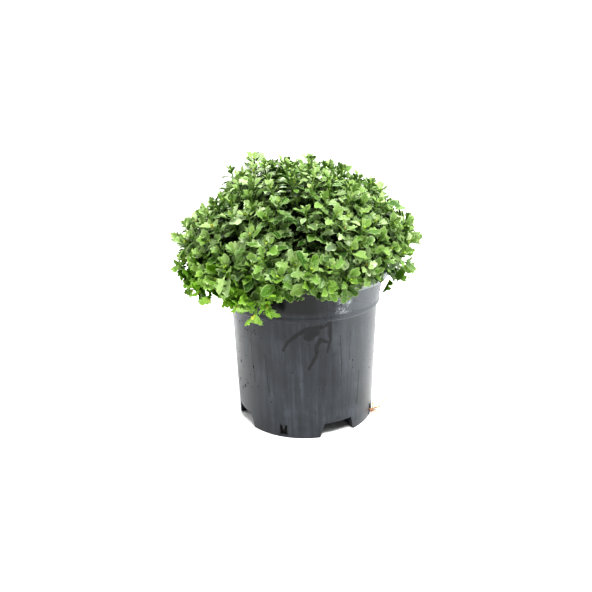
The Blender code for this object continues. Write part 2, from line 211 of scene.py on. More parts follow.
def makeStudio():
    s = lightSettings
    bpy.context.scene.view_settings.view_transform = "Standard"
    bpy.context.scene.view_settings.look = "High Contrast"
    world = bpy.data.worlds.new("studio")
    world.use_nodes = True
    tree = world.node_tree
    (lowHeight, lowStrength), (highHeight, highStrength) = s["sky"]
    direction = addNode(tree, "ShaderNodeTexCoord", output="Generated")
    height = addNode(tree, "ShaderNodeSeparateXYZ", direction, output="Z")
    strength = addNode(
        tree, "ShaderNodeMapRange", height, lowHeight, highHeight, lowStrength, highStrength,
        interpolation_type="SMOOTHSTEP",
    )
    sky = tree.nodes["Background"]
    sky.inputs["Color"].default_value = (1.0, 1.0, 1.0, 1.0)
    tree.links.new(strength, sky.inputs["Strength"])
    bpy.context.scene.world = world
    middle = Vector((0.0, 0.0, 0.15))
    for name, (azimuth, elevation, spread, strength) in s["suns"].items():
        reach = math.radians(elevation)
        location = middle + around(azimuth, 3 * math.cos(reach), 3 * math.sin(reach))
        addLamp(name, "SUN", location, middle, energy=strength, angle=math.radians(spread))
    for name, (azimuth, distance, height, size, watts) in s["softboxes"].items():
        location = around(azimuth, distance, height)
        addLamp(name, "AREA", location, middle, energy=watts, size=size, shape="DISK")
    # matt white studio paper
    material, tree = newMaterial("whiteStudioPaper")
    shader = addNode(
        tree, "ShaderNodeBsdfPrincipled",
        {"Base Color": linearColour(s["floorColour"]), "Roughness": 0.75},
    )
    addNode(tree, "ShaderNodeOutputMaterial", shader)
    bm = bmesh.new()
    bmesh.ops.create_circle(bm, cap_ends=True, segments=64, radius=s["floorRadius"])
    floor = meshObject("studioFloor", bm, material, smooth=False)


makeCamera()
makeStudio()
print("camera and studio ready")


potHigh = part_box("nursery_pot")[1]
potSettings = {
    "height": potHigh.z,
    "rimRadius": potHigh.x,
    "lipHeight": 0.0075,
    "lipOverhang": 0.0055,
    "lipTopWidth": 0.0036,
    "lipRound": 0.0011,
    "underLipFillet": 0.0030,
    "collarHeight": 0.0295,
    "collarTaper": 0.0046,
    "shoulderStep": 0.0018,
    "shoulderRound": 0.0012,
    "beadHeight": 0.0048,
    "beadProud": 0.0011,
    "bodyTaper": 0.0043,
    "footRound": 0.0012,
    "wall": 0.0014,
    "floor": 0.0018,
    "segments": 192,
    "channelHeight": 0.0165,
    "channelFootWidth": 0.0428,
    "channelTopWidth": 0.0330,
    "slotWidth": 0.0082,
    "slotHeight": 0.0120,
    "slotSill": 0.0035,
    "tongueWidth": 0.0048,
    "tongueDrop": 0.0065,
    "ribWidth": 0.0009,
    "ribProud": 0.0004,
    "cutMargin": 0.010,
}


def roundedCorner(before, corner, after, radius, steps=4):
    # points of an arc that rounds one corner of a profile
    one = (Vector(before) - Vector(corner)).normalized()
    two = (Vector(after) - Vector(corner)).normalized()
    half = one.angle(two) / 2
    reach = radius / math.tan(half)
    centre = Vector(corner) + (one + two).normalized() * radius / math.sin(half)
    first = (Vector(corner) + one * reach - centre).normalized()
    last = (Vector(corner) + two * reach - centre).normalized()
    return [centre + first.slerp(last, index / steps) * radius for index in range(steps + 1)]


def roundedProfile(corners):
    # corners are (radius, height, rounding)
    points = []
    for index, (radius, height, rounding) in enumerate(corners):
        here = Vector((radius, height))
        if rounding:
            before, after = corners[index - 1][:2], corners[index + 1][:2]
            points += roundedCorner(before, here, after, rounding)
        else:
            points.append(here)
    return points


def subdivided(points, longest):
    result = [points[0]]
    for point in points[1:]:
        start = result[-1]
        steps = max(1, math.ceil((point - start).length / longest))
        result += [start.lerp(point, step / steps) for step in range(1, steps + 1)]
    return result


def latheObject(name, points, segments, material=None):
    bm = bmesh.new()
    line = [bm.verts.new((point[0], 0.0, point[1])) for point in points]
    edges = [bm.edges.new(pair) for pair in zip(line, line[1:])]
    bmesh.ops.spin(
        bm, geom=line + edges, cent=(0, 0, 0), axis=(0, 0, 1),
        angle=math.tau, steps=segments, use_merge=True,
    )
    bmesh.ops.remove_doubles(bm, verts=bm.verts, dist=1e-6)
    bmesh.ops.recalc_face_normals(bm, faces=bm.faces)
    return meshObject(name, bm, material)


def prismObject(name, outline, depth, turn, shift):
    # an outline in the XZ plane, pushed along Y, then moved out and turned about the pot's axis
    bm = bmesh.new()
    face = bm.faces.new([bm.verts.new((x, shift - depth / 2, z)) for x, z in outline])
    pushed = bmesh.ops.extrude_face_region(bm, geom=[face])["geom"]
    moved = [item for item in pushed if isinstance(item, bmesh.types.BMVert)]
    bmesh.ops.translate(bm, verts=moved, vec=(0.0, depth, 0.0))
    bmesh.ops.rotate(bm, verts=bm.verts, cent=(0, 0, 0), matrix=Matrix.Rotation(turn, 3, "Z"))
    bmesh.ops.recalc_face_normals(bm, faces=bm.faces)
    return meshObject(name, bm, smooth=False)


def cutWith(obj, cutter, operation="DIFFERENCE"):
    modifier = obj.modifiers.new(cutter.name, "BOOLEAN")
    modifier.object = cutter
    modifier.operation = operation
    modifier.solver = "EXACT"


def channelOutline(standOff):
    s = potSettings
    slope = (s["channelFootWidth"] - s["channelTopWidth"]) / 2 / s["channelHeight"]
    half = s["channelFootWidth"] / 2 + standOff * math.hypot(1.0, slope)
    roof = s["channelHeight"] + standOff
    low = s["cutMargin"]
    return [
        (-half - slope * low, -low),
        (half + slope * low, -low),
        (half - slope * roof, roof),
        (slope * roof - half, roof),
    ]


def slotOutline():
    s = potSettings
    half, tongue = s["slotWidth"] / 2, s["tongueWidth"] / 2
    low, top = s["slotSill"], s["slotSill"] + s["slotHeight"]
    right = [(half, low), (half, top), (tongue, top), (tongue * 0.45, top - s["tongueDrop"] * 0.6)]
    left = [(-x, z) for x, z in reversed(right)]
    return right + [(0.0, top - s["tongueDrop"])] + left


def potRadii():
    s = potSettings
    collar = s["rimRadius"] - s["lipOverhang"]
    shoulder = collar - s["collarTaper"]
    body = shoulder - s["shoulderStep"]
    return collar, shoulder, body, body - s["bodyTaper"]


def makePot(material):
    s = potSettings
    top, rim, wall = s["height"], s["rimRadius"], s["wall"]
    collar, shoulder, body, base = potRadii()
    underLip = top - s["lipHeight"]
    ledge = underLip - s["collarHeight"]
    bead, overBead = s["beadHeight"], s["collarTaper"] * s["beadHeight"] / s["collarHeight"]
    outer = roundedProfile([
        (0.0, top, 0),
        (rim, top, s["lipRound"]),
        (rim, underLip, s["lipRound"] * 0.5),
        (collar, underLip, s["underLipFillet"]),
        (shoulder + overBead, ledge + bead, 0.002),
        (shoulder + s["beadProud"], ledge + bead * 0.45, s["shoulderRound"]),
        (shoulder + s["beadProud"], ledge, s["shoulderRound"] * 0.5),
        (body, ledge - s["shoulderStep"] * 1.2, s["shoulderStep"] * 0.5),
        (base, 0.0, s["footRound"]),
        (0.0, 0.0, 0),
    ])
    inner = roundedProfile([
        (0.0, top + s["cutMargin"], 0),
        (rim - s["lipTopWidth"], top + s["cutMargin"], 0),
        (rim - s["lipTopWidth"], top, s["lipRound"] * 0.5),
        (collar - wall, underLip, s["lipRound"]),
        (shoulder - wall, ledge, s["shoulderRound"]),
        (body - wall, ledge - s["shoulderStep"] - wall, s["shoulderRound"]),
        (base - wall, s["floor"], s["footRound"]),
        (0.0, s["floor"], 0),
    ])
    pot = latheObject("nurseryPot", subdivided(outer, 0.012), s["segments"], material)
    inside = latheObject("potInside", inner, s["segments"])
    cutters = []
    for index in range(2):
        turn = math.pi / 2 * index
        length = 2 * rim + 2 * s["cutMargin"]
        cutters.append(prismObject(f"channel{index}", channelOutline(0.0), length, turn, 0.0))
        grown = prismObject(f"channelInside{index}", channelOutline(wall), length, turn, 0.0)
        cutWith(inside, grown)
        cutWith(pot, cutters[-1])
        cutters.append(grown)
    cutWith(pot, inside)
    for index in range(4):
        turn = math.pi / 2 * (index + 0.5)
        # a thin raised line stands on each side of a slot
        for side in (-1, 1):
            x = side * (s["slotWidth"] / 2 + s["ribWidth"])
            half = s["ribWidth"] / 2
            tall = s["slotSill"] + s["slotHeight"] + 0.002
            outline = [(x - half, 0.0015), (x + half, 0.0015), (x + half, tall), (x - half, tall)]
            depth = wall / 2 + s["ribProud"]
            rib = prismObject(
                f"rib{index}{side}", outline, depth, turn, -base - s["ribProud"] + depth / 2
            )
            cutWith(pot, rib, "UNION")
            cutters.append(rib)
        slot = prismObject(f"slot{index}", slotOutline(), s["cutMargin"], turn, -base)
        cutWith(pot, slot)
        cutters.append(slot)
    pot = plainMesh(pot, "nurseryPot")
    for cutter in cutters + [inside]:
        bpy.data.objects.remove(cutter)
    pot.data.set_sharp_from_angle(angle=math.radians(32))
    place(pot, "pot", "nursery_pot")
    return pot


potLookSettings = {
    "meanRadius": 82.0,
    "dry": [(0.34, "#1f2125"), (0.52, "#2c2f34"), (0.68, "#3e434a")],
    # pale tints paint light on the right side, a highlight on the collar and light on the lip; the near
    # black one darkens wet runs and paints shade on the collar's front
    "tints": {"film": "#767c80", "band": "#c4cacd", "onLip": "#a3a8ad", "darkened": "#040405"},
    # scale, detail, roughness and distortion
    "noises": {
        "streaks": (210.0, 5.0, 0.62, 0.0),
        "blotches": (34.0, 4.0, 0.55, 0.5),
        "speckle": (900.0, 3.0, 0.6, 0.0),
        "patchy": (130.0, 4.0, 0.7, 0.6),
        "grain": (1600.0, 2.0, 0.5, 0.0),
    },
    # water that ran down: (azimuth, height, half width) of each bend, degrees and millimetres
    "runs": (
        ((-43, 105, 1.7), (-39, 115, 2.0), (-31, 124, 2.6)),
        ((-31, 124, 2.7), (-26, 128, 3.4), (-14, 131, 2.4)),
        ((-24, 121, 5.4), (-20, 126, 6.2)),
        ((-14, 131, 1.5), (-8, 134, 2.0), (-8, 115, 1.8), (-10, 102, 1.5)),
        ((-10, 113, 1.6), (-15, 117, 3.0), (-18, 110, 2.5), (-19, 98, 2.1), (-24, 84, 1.6)),
        ((0, 118, 0.5), (2, 84, 0.8), (1, 60, 0.4)),
        ((9, 120, 0.4), (9, 88, 0.7)),
        ((20, 70, 1.0), (19, 30, 1.4)),
        ((-72, 110, 0.8), (-70, 60, 1.2)),
        ((-58, 96, 0.7), (-56, 48, 1.0)),
        ((118, 128, 1.6), (122, 92, 1.4), (119, 70, 1.0)),
        ((171, 132, 2.4), (168, 108, 2.0), (173, 84, 1.2)),
        ((-148, 126, 1.4), (-145, 74, 1.2)),
        ((80, 112, 1.2), (84, 66, 1.0)),
    ),
}


def potCoordinates(tree):
    # distance round the pot in millimetres at its mean radius, and height in millimetres
    where = addNode(tree, "ShaderNodeTexCoord", output="Object")
    parts = addNode(tree, "ShaderNodeSeparateXYZ", where, output=None)
    known = {"x": parts["X"], "y": parts["Y"], "z": parts["Z"]}
    addSteps(tree, known, (
        ("forward", "MULTIPLY", "y", -1.0),
        ("turn", "ARCTAN2", "x", "forward"),
        ("along", "MULTIPLY", "turn", potLookSettings["meanRadius"]),
        ("height", "MULTIPLY", "z", 1000.0),
    ))
    return where, known


def stripDistance(tree, place, start, end):
    # how far a point is outside a tapered strip between two bends, in millimetres
    first, second = (
        Vector((math.radians(azimuth) * potLookSettings["meanRadius"], height, 0.0))
        for azimuth, height, _ in (start, end)
    )
    span = second - first
    offset = addNode(tree, "ShaderNodeVectorMath", place, first, operation="SUBTRACT")
    along = addNode(
        tree, "ShaderNodeVectorMath", offset, span / span.length_squared, output="Value",
        operation="DOT_PRODUCT",
    )
    share = addNode(tree, "ShaderNodeClamp", along)
    foot = addNode(tree, "ShaderNodeVectorMath", {"Scale": share, 0: span}, operation="SCALE")
    away = addNode(
        tree, "ShaderNodeVectorMath", offset, foot, output="Value", operation="DISTANCE"
    )
    width = addNode(
        tree, "ShaderNodeMath", share, end[2] - start[2], start[2], operation="MULTIPLY_ADD"
    )
    return addNode(tree, "ShaderNodeMath", away, width, operation="SUBTRACT")


def mouldedPolypropylene():
    # injection-moulded charcoal polypropylene, watered a moment ago: a soft sheen, darker and
    # glossier where water has run, and a pale film of fine droplets on the collar's front right.
    # Painted light and shade: the film's pale tint also lights the right side, a pale band paints a
    # highlight on the collar, a pale tint lights the lip, and the collar's front is darkened under the
    # leaves
    s = potLookSettings
    material, tree = newMaterial("injectionMouldedPolypropylene")
    where, known = potCoordinates(tree)
    flat = addNode(tree, "ShaderNodeCombineXYZ", known["along"], known["height"])
    # edges of the runs wander by about 1 mm
    wander = addNode(
        tree, "ShaderNodeTexNoise", {"Vector": where, "Scale": 160.0, "Detail": 3.0}, output="Color"
    )
    wander = addNode(
        tree, "ShaderNodeVectorMath", wander, (3.4, 3.4, 0.0), (-1.7, -1.7, 0.0),
        operation="MULTIPLY_ADD",
    )
    place = addNode(tree, "ShaderNodeVectorMath", flat, wander, operation="ADD")
    strips = [pair for bends in s["runs"] for pair in zip(bends, bends[1:])]
    nearest, *others = [stripDistance(tree, place, start, end) for start, end in strips]
    for other in others:
        nearest = addNode(tree, "ShaderNodeMath", nearest, other, operation="MINIMUM")
    known["nearest"] = nearest
    # streaks a few millimetres wide stand upright, where water has dried
    stretched = addNode(tree, "ShaderNodeMapping", {"Vector": where, "Scale": (1.0, 1.0, 0.07)})
    for name, (scale, detail, roughness, distortion) in s["noises"].items():
        known[name] = addNode(tree, "ShaderNodeTexNoise", {
            "Vector": stretched if name == "streaks" else where, "Scale": scale,
            "Detail": detail, "Roughness": roughness, "Distortion": distortion,
        })
    addSteps(tree, known, (
        ("wet", "range", "nearest", -0.9, 0.5, 0.85, 0.0),
        ("dryness", "MULTIPLY", "blotches", 0.4),
        ("dryness", "MULTIPLY_ADD", "streaks", 0.6, "dryness"),
        # painted shade: the collar's front is evenly darkened under the leaves, with a soft edge
        ("wetLeft", "range", "along", -105.0, -88.0),
        ("wetRight", "range", "along", -30.0, -8.0, 1.0, 0.0),
        ("wetHigh", "range", "height", 143.0, 148.0),
        ("wetCollar", "MULTIPLY", "wetLeft", "wetRight"),
        ("wetCollar", "MULTIPLY", "wetCollar", "wetHigh"),
        # a pale film lies on the collar, from its front to the right, and fades below the shoulder:
        # partly fine droplets, partly painted light on the pot's lit right side
        ("ragged", "range", "blotches", 0.3, 0.7, -5.0, 5.0),
        ("edge", "ADD", "along", "ragged"),
        ("fromLeft", "range", "edge", -9.0, 1.0),
        ("toRight", "range", "edge", 112.0, 140.0, 1.0, 0.0),
        ("onCollar", "range", "height", 134.0, 140.0, 0.5, 1.0),
        ("belowFade", "range", "height", 40.0, 136.0),
        ("broken", "range", "speckle", 0.35, 0.62, 0.72, 1.0),
        ("film", "MULTIPLY", "fromLeft", "toRight"),
        ("film", "MULTIPLY", "film", "onCollar"),
        ("film", "MULTIPLY", "film", "belowFade"),
        ("film", "MULTIPLY", "film", "broken"),
        # painted highlight: a pale band along the film's left edge on the collar, in patches
        ("bandLeft", "range", "edge", -8.0, -2.0),
        ("bandRight", "range", "edge", 3.0, 9.0, 1.0, 0.0),
        ("bandHeight", "range", "height", 141.0, 147.0),
        ("patches", "range", "patchy", 0.42, 0.58),
        ("flecks", "range", "speckle", 0.42, 0.6, 0.35, 1.0),
        ("band", "MULTIPLY", "bandLeft", "bandRight"),
        ("band", "MULTIPLY", "band", "bandHeight"),
        ("band", "MULTIPLY", "band", "patches"),
        ("band", "MULTIPLY", "band", "flecks"),
        # painted light: the lip's outer band is lightened from the front round to the right
        ("lipTop", "range", "height", 167.2, 167.8),
        ("onLip", "MULTIPLY", "fromLeft", "lipTop"),
        # the runs don't show through the film and its painted light
        ("bare", "SUBTRACT", 1.0, "film"),
        ("bare", "range", "bare", 0.2, 0.7),
        ("wet", "MULTIPLY", "wet", "bare"),
        # the wet runs darken the plastic, and painted shade darkens the collar's front
        ("darkened", "MULTIPLY", "wetCollar", 0.9),
        ("darkened", "MAXIMUM", "wet", "darkened"),
        ("roughness", "MULTIPLY_ADD", "streaks", 0.22, 0.24),
        ("filmRoughness", "MULTIPLY", "film", 0.16),
        ("roughness", "ADD", "roughness", "filmRoughness"),
        ("roughness", "MULTIPLY_ADD", "wet", -0.06, "roughness"),
        # fine grain of the mould's surface, drawn at 0.6 mm, and the water's own depth
        ("depth", "MULTIPLY", "streaks", 1.2),
        ("depth", "MULTIPLY_ADD", "wet", 1.5, "depth"),
        ("depth", "MULTIPLY_ADD", "grain", 0.5, "depth"),
        ("film", "MULTIPLY", "film", 0.45),
        ("band", "MULTIPLY", "band", 0.6),
        ("onLip", "MULTIPLY", "onLip", 0.55),
    ))
    known["colour"] = addNode(tree, "ShaderNodeValToRGB", known["dryness"], stops=s["dry"])
    tints = [("colour", "tint", key, "colour", code) for key, code in s["tints"].items()]
    addSteps(tree, known, tints)
    bump = addNode(
        tree, "ShaderNodeBump", {"Height": known["depth"], "Strength": 0.22, "Distance": 0.0003}
    )
    shader = addNode(tree, "ShaderNodeBsdfPrincipled", {
        "Base Color": known["colour"], "Roughness": known["roughness"], "Normal": bump,
        "IOR": 1.41, "Sheen Weight": 0.1, "Sheen Roughness": 0.35,
    })
    addNode(tree, "ShaderNodeOutputMaterial", shader)
    return material


pot = makePot(mouldedPolypropylene())
print("pot made")


mixSettings = {
    "rings": 26,
    "segments": 120,
    "depth": 0.004,
    "lift": 0.0015,
    "mound": 0.004,
    "lumpHeight": 0.0030,
    "lumpScale": 75.0,
    "crumbHeight": 0.0010,
    "crumbScale": 320.0,
    "gap": 0.0006,
    "chips": 420,
    "chipLength": 0.0065,
}


def peatMix():
    # moist peat with fibres: almost black brown, with paler crumbs about 1 mm across
    material, tree = newMaterial("moistPeatMix")
    where = addNode(tree, "ShaderNodeTexCoord", output="Object")
    crumbs = addNode(
        tree, "ShaderNodeTexNoise",
        {"Vector": where, "Scale": 700.0, "Detail": 5.0, "Roughness": 0.7},
    )
    colour = addNode(
        tree, "ShaderNodeValToRGB", crumbs,
        stops=[(0.35, "#1c130d"), (0.55, "#38271b"), (0.72, "#5d4531")],
    )
    # painted shade: near black in the bottom 40 mm
    height = addNode(tree, "ShaderNodeSeparateXYZ", where, output="Z")
    known = {"colour": colour, "height": height}
    addSteps(tree, known, (
        ("soaked", "range", "height", 0.04, 0.08, 0.92, 0.0),
        ("colour", "tint", "soaked", "colour", "#050403"),
    ))
    bump = addNode(tree, "ShaderNodeBump", {"Height": crumbs, "Strength": 0.8, "Distance": 0.0006})
    shader = addNode(
        tree, "ShaderNodeBsdfPrincipled", {"Base Color": known["colour"], "Normal": bump, "Roughness": 0.9}
    )
    addNode(tree, "ShaderNodeOutputMaterial", shader)
    return material


def compostedBark():
    # broken bark, 2 to 8 mm: warmer and paler than the peat, each chip with its own tone
    material, tree = newMaterial("compostedBark")
    tone = addNode(tree, "ShaderNodeAttribute", output="Fac", attribute_name="tone")
    colour = addNode(
        tree, "ShaderNodeValToRGB", tone,
        stops=[(0.0, "#2a1c12"), (0.6, "#553a25"), (1.0, "#86664a")],
    )
    where = addNode(tree, "ShaderNodeTexCoord", output="Object")
    fibre = addNode(tree, "ShaderNodeTexNoise", {"Vector": where, "Scale": 900.0, "Detail": 3.0})
    bump = addNode(tree, "ShaderNodeBump", {"Height": fibre, "Strength": 0.5, "Distance": 0.0004})
    shader = addNode(
        tree, "ShaderNodeBsdfPrincipled", {"Base Color": colour, "Normal": bump, "Roughness": 0.85}
    )
    addNode(tree, "ShaderNodeOutputMaterial", shader)
    return material


def mixHeight(x, y):
    s = mixSettings
    share = min(1.0, math.hypot(x, y) / mixRadius)
    height = mixEdge + s["lift"] + s["mound"] * (1.0 - share ** 1.6)
    height += noise.noise(Vector((x, y, 0.3)) * s["lumpScale"]) * s["lumpHeight"] * 0.5
    return height + abs(noise.noise(Vector((x, y, 3.0)) * s["crumbScale"])) * s["crumbHeight"]


def makeMix(material):
    s = mixSettings
    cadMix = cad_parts["potting_mix"]
    cadMix.data.materials.clear()
    cadMix.data.materials.append(material)
    bm = bmesh.new()
    rows = []
    for ring in range(1, s["rings"] + 1):
        reach = mixRadius * ring / s["rings"]
        row = []
        for step in range(s["segments"]):
            angle = math.tau * step / s["segments"]
            x, y = reach * math.cos(angle), reach * math.sin(angle)
            row.append(bm.verts.new((x, y, mixHeight(x, y))))
        rows.append(row)
    under = [bm.verts.new((v.co.x, v.co.y, mixEdge - s["depth"])) for v in rows[-1]]
    middle = bm.verts.new((0, 0, mixHeight(0, 0)))
    for step in range(s["segments"]):
        after = (step + 1) % s["segments"]
        bm.faces.new([middle, rows[0][step], rows[0][after]])
        for inner, outer in zip(rows, rows[1:] + [under]):
            bm.faces.new([inner[step], outer[step], outer[after], inner[after]])
    bm.faces.new(under[::-1])
    bmesh.ops.recalc_face_normals(bm, faces=bm.faces)
    place(meshObject("mixSurface", bm, material), "mix")


def newCopyTree(name, inputs):
    # a node group with these inputs, and its inputs by name
    tree = bpy.data.node_groups.new(name, "GeometryNodeTree")
    for label, kind in inputs:
        tree.interface.new_socket(label, in_out="INPUT", socket_type=f"NodeSocket{kind}")
    tree.interface.new_socket("Copies", in_out="OUTPUT", socket_type="NodeSocketGeometry")
    given = addNode(tree, "NodeGroupInput", output=None)
    return tree, {label: given[label] for label, _ in inputs}


def heldValues(tree, **kinds):
    # values that each point holds
    return {
        name: addNode(tree, "GeometryNodeInputNamedAttribute", name, data_type=kind)
        for name, kind in kinds.items()
    }


def finishCopyTree(tree, known, points, stored):
    # copies at the points, the values stored on them, and real geometry with its material
    kinds = addNode(
        tree, "GeometryNodeCollectionInfo",
        {"Collection": known["Kinds"], "Separate Children": True, "Reset Children": True},
    )
    copies = addNode(tree, "GeometryNodeInstanceOnPoints", {
        "Pick Instance": True, "Points": points, "Instance": kinds,
        "Instance Index": known["kind"], "Rotation": known["turned"], "Scale": known["size"],
    })
    for name, value in stored.items():
        copies = addNode(
            tree, "GeometryNodeStoreNamedAttribute",
            {"Name": name, "Geometry": copies, "Value": value},
            data_type="FLOAT", domain="INSTANCE",
        )
    real = addNode(tree, "GeometryNodeRealizeInstances", copies)
    inputs = {"Geometry": real, "Material": known["Material"]}
    addNode(tree, "NodeGroupOutput", addNode(tree, "GeometryNodeSetMaterial", inputs))
    return tree


def makeScatterTree():
    # copies of a random kind at each point, with the turn, size and tone the point holds
    tree, known = newCopyTree("scatter", (
        ("Points", "Geometry"), ("Kinds", "Collection"), ("Kind count", "Int"), ("Seed", "Int"),
        ("Material", "Material"),
    ))
    known |= heldValues(tree, turn="FLOAT_VECTOR", size="FLOAT_VECTOR", tone="FLOAT")
    known["choice"] = addNode(
        tree, "FunctionNodeRandomValue", {"Seed": known["Seed"]}, output=1, data_type="FLOAT"
    )
    addSteps(tree, known, (
        ("kind", "MULTIPLY", "choice", "Kind count"),
        ("kind", "FLOOR", "kind"),
    ))
    known["turned"] = addNode(tree, "FunctionNodeEulerToRotation", known["turn"])
    return finishCopyTree(tree, known, known["Points"], {"tone": known["tone"]})


def kindsCollection(name, objects):
    collection = bpy.data.collections.new(name)
    for obj in objects:
        bpy.context.scene.collection.objects.unlink(obj)
        collection.objects.link(obj)
    return collection


def copiesAtPoints(name, tree, modifierName, points, attributes, inputs):
    # attributes are (label, values), each value a number or three
    mesh = bpy.data.meshes.new(name)
    mesh.from_pydata(points, [], [])
    for label, values in attributes.items():
        if isinstance(values[0], (int, float)):
            layer = mesh.attributes.new(label, "FLOAT", "POINT")
            layer.data.foreach_set("value", values)
        else:
            layer = mesh.attributes.new(label, "FLOAT_VECTOR", "POINT")
            layer.data.foreach_set("vector", [part for value in values for part in value])
    obj = bpy.data.objects.new(name, mesh)
    bpy.context.scene.collection.objects.link(obj)
    modifier = obj.modifiers.new(modifierName, "NODES")
    modifier.node_group = tree
    for item in tree.interface.items_tree:
        if item.name in inputs:
            modifier[item.identifier] = inputs[item.name]
    return plainMesh(obj, name)


def makeChip(name, rng):
    # a flat chip: an uneven five-sided slab
    bm = bmesh.new()
    rings = []
    for height in (-0.16, 0.18):
        ring = []
        for corner in range(5):
            angle = math.tau * (corner + rng.uniform(-0.2, 0.2)) / 5
            reach = rng.uniform(0.34, 0.5)
            x, y = reach * math.cos(angle), reach * 0.6 * math.sin(angle)
            ring.append(bm.verts.new((x, y, height * rng.uniform(0.6, 1.0))))
        rings.append(ring)
    for corner in range(5):
        after = (corner + 1) % 5
        bm.faces.new([rings[0][corner], rings[0][after], rings[1][after], rings[1][corner]])
    bm.faces.new(rings[0][::-1])
    bm.faces.new(rings[1])
    bmesh.ops.triangulate(bm, faces=bm.faces)
    return meshObject(name, bm, smooth=False)


def scatterChips(tree, material):
    s = mixSettings
    rng = random.Random(21)
    kinds = [makeChip(f"chipKind{index}", rng) for index in range(4)]
    points, turns, sizes, tones = [], [], [], []
    for _ in range(s["chips"]):
        reach, angle = mixRadius * 0.97 * math.sqrt(rng.random()), rng.uniform(0, math.tau)
        x, y = reach * math.cos(angle), reach * math.sin(angle)
        size = s["chipLength"] * rng.uniform(0.25, 1.0) ** 1.4
        points.append((x, y, mixHeight(x, y) + size * 0.08))
        turns.append((rng.gauss(0, 0.45), rng.gauss(0, 0.45), rng.uniform(0, math.tau)))
        sizes.append((size, size * rng.uniform(0.5, 1.0), size * rng.uniform(0.6, 1.1)))
        tones.append(rng.random())
    attributes = {"turn": turns, "size": sizes, "tone": tones}
    collection = kindsCollection("chipKinds", kinds)
    inputs = {"Kinds": collection, "Kind count": len(kinds), "Seed": 4, "Material": material}
    chips = copiesAtPoints("barkChips", tree, "scatter", points, attributes, inputs)
    place(chips, "mix")
    for obj in kinds:
        bpy.data.objects.remove(obj)


def mixEdgeAndRadius():
    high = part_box("potting_mix")[1]
    return high.z - mixSettings["mound"], high.x - mixSettings["gap"] * 2


mixEdge, mixRadius = mixEdgeAndRadius()
makeMix(peatMix())
scatterTree = makeScatterTree()
scatterChips(scatterTree, compostedBark())
print("potting mix made")


dropletSettings = {
    # azimuths, heights, count, size in mm, how much taller than wide
    "patches": (
        (-16, 2, 0.141, 0.165, 150, 0.45, 1.2),
        (-2, 75, 0.141, 0.164, 60, 0.6, 1.2),
        (-100, -52, 0.040, 0.134, 60, 1.05, 1.9),
        (-45, 20, 0.020, 0.130, 45, 0.6, 1.6),
        (20, 80, 0.030, 0.134, 60, 0.7, 1.5),
        (80, 260, 0.020, 0.162, 150, 0.7, 1.6),
    ),
    "thick": 0.45,
}


def waterOnPlastic():
    # clear water shows the dark plastic beneath it, so a droplet reads dark with a sharp gloss
    material, tree = newMaterial("waterOnPlastic")
    shader = addNode(
        tree, "ShaderNodeBsdfPrincipled",
        {"Base Color": linearColour("#141618"), "Roughness": 0.03, "IOR": 1.33},
    )
    addNode(tree, "ShaderNodeOutputMaterial", shader)
    return material


def makeDroplet(name):
    # half a bead, one unit across, that stands up along z
    bm = bmesh.new()
    rows = []
    for radius, height in ((0.5, -0.15), (0.5, 0.05), (0.34, 0.34)):
        rows.append([bm.verts.new((x, y, height)) for x, y in ringPoints(7, radius)])
    for low, high in zip(rows, rows[1:]):
        for corner in range(7):
            after = (corner + 1) % 7
            bm.faces.new([low[corner], low[after], high[after], high[corner]])
    crown = bm.verts.new((0, 0, 0.45))
    for corner in range(7):
        bm.faces.new([rows[-1][corner], rows[-1][(corner + 1) % 7], crown])
    bm.faces.new(rows[0][::-1])
    return meshObject(name, bm)


def potRadiusAt(height):
    collar, shoulder, body, base = potRadii()
    ledge = potSettings["height"] - potSettings["lipHeight"] - potSettings["collarHeight"]
    if height > ledge:
        return shoulder + (collar - shoulder) * (height - ledge) / potSettings["collarHeight"]
    return base + (body - base) * height / ledge


def scatterDroplets(tree, material):
    s = dropletSettings
    rng = random.Random(8)
    droplet = makeDroplet("dropletKind0")
    points, turns, sizes = [], [], []
    for left, right, low, high, count, width, tall in s["patches"]:
        for _ in range(count):
            azimuth, height = rng.uniform(left, right), rng.uniform(low, high)
            across = width * 0.001 * min(2.4, rng.lognormvariate(0.0, 0.45))
            points.append(around(azimuth, potRadiusAt(height), height))
            turns.append((math.pi / 2, 0.0, math.radians(azimuth)))
            sizes.append((across, across * rng.uniform(0.9, 1.1) * tall, across * s["thick"]))
    attributes = {"turn": turns, "size": sizes, "tone": [0.5] * len(points)}
    collection = kindsCollection("dropletKinds", [droplet])
    inputs = {"Kinds": collection, "Kind count": 1, "Seed": 2, "Material": material}
    place(copiesAtPoints("waterDroplets", tree, "scatter", points, attributes, inputs), "pot")
    bpy.data.objects.remove(droplet)


scatterDroplets(scatterTree, waterOnPlastic())
print("droplets made")


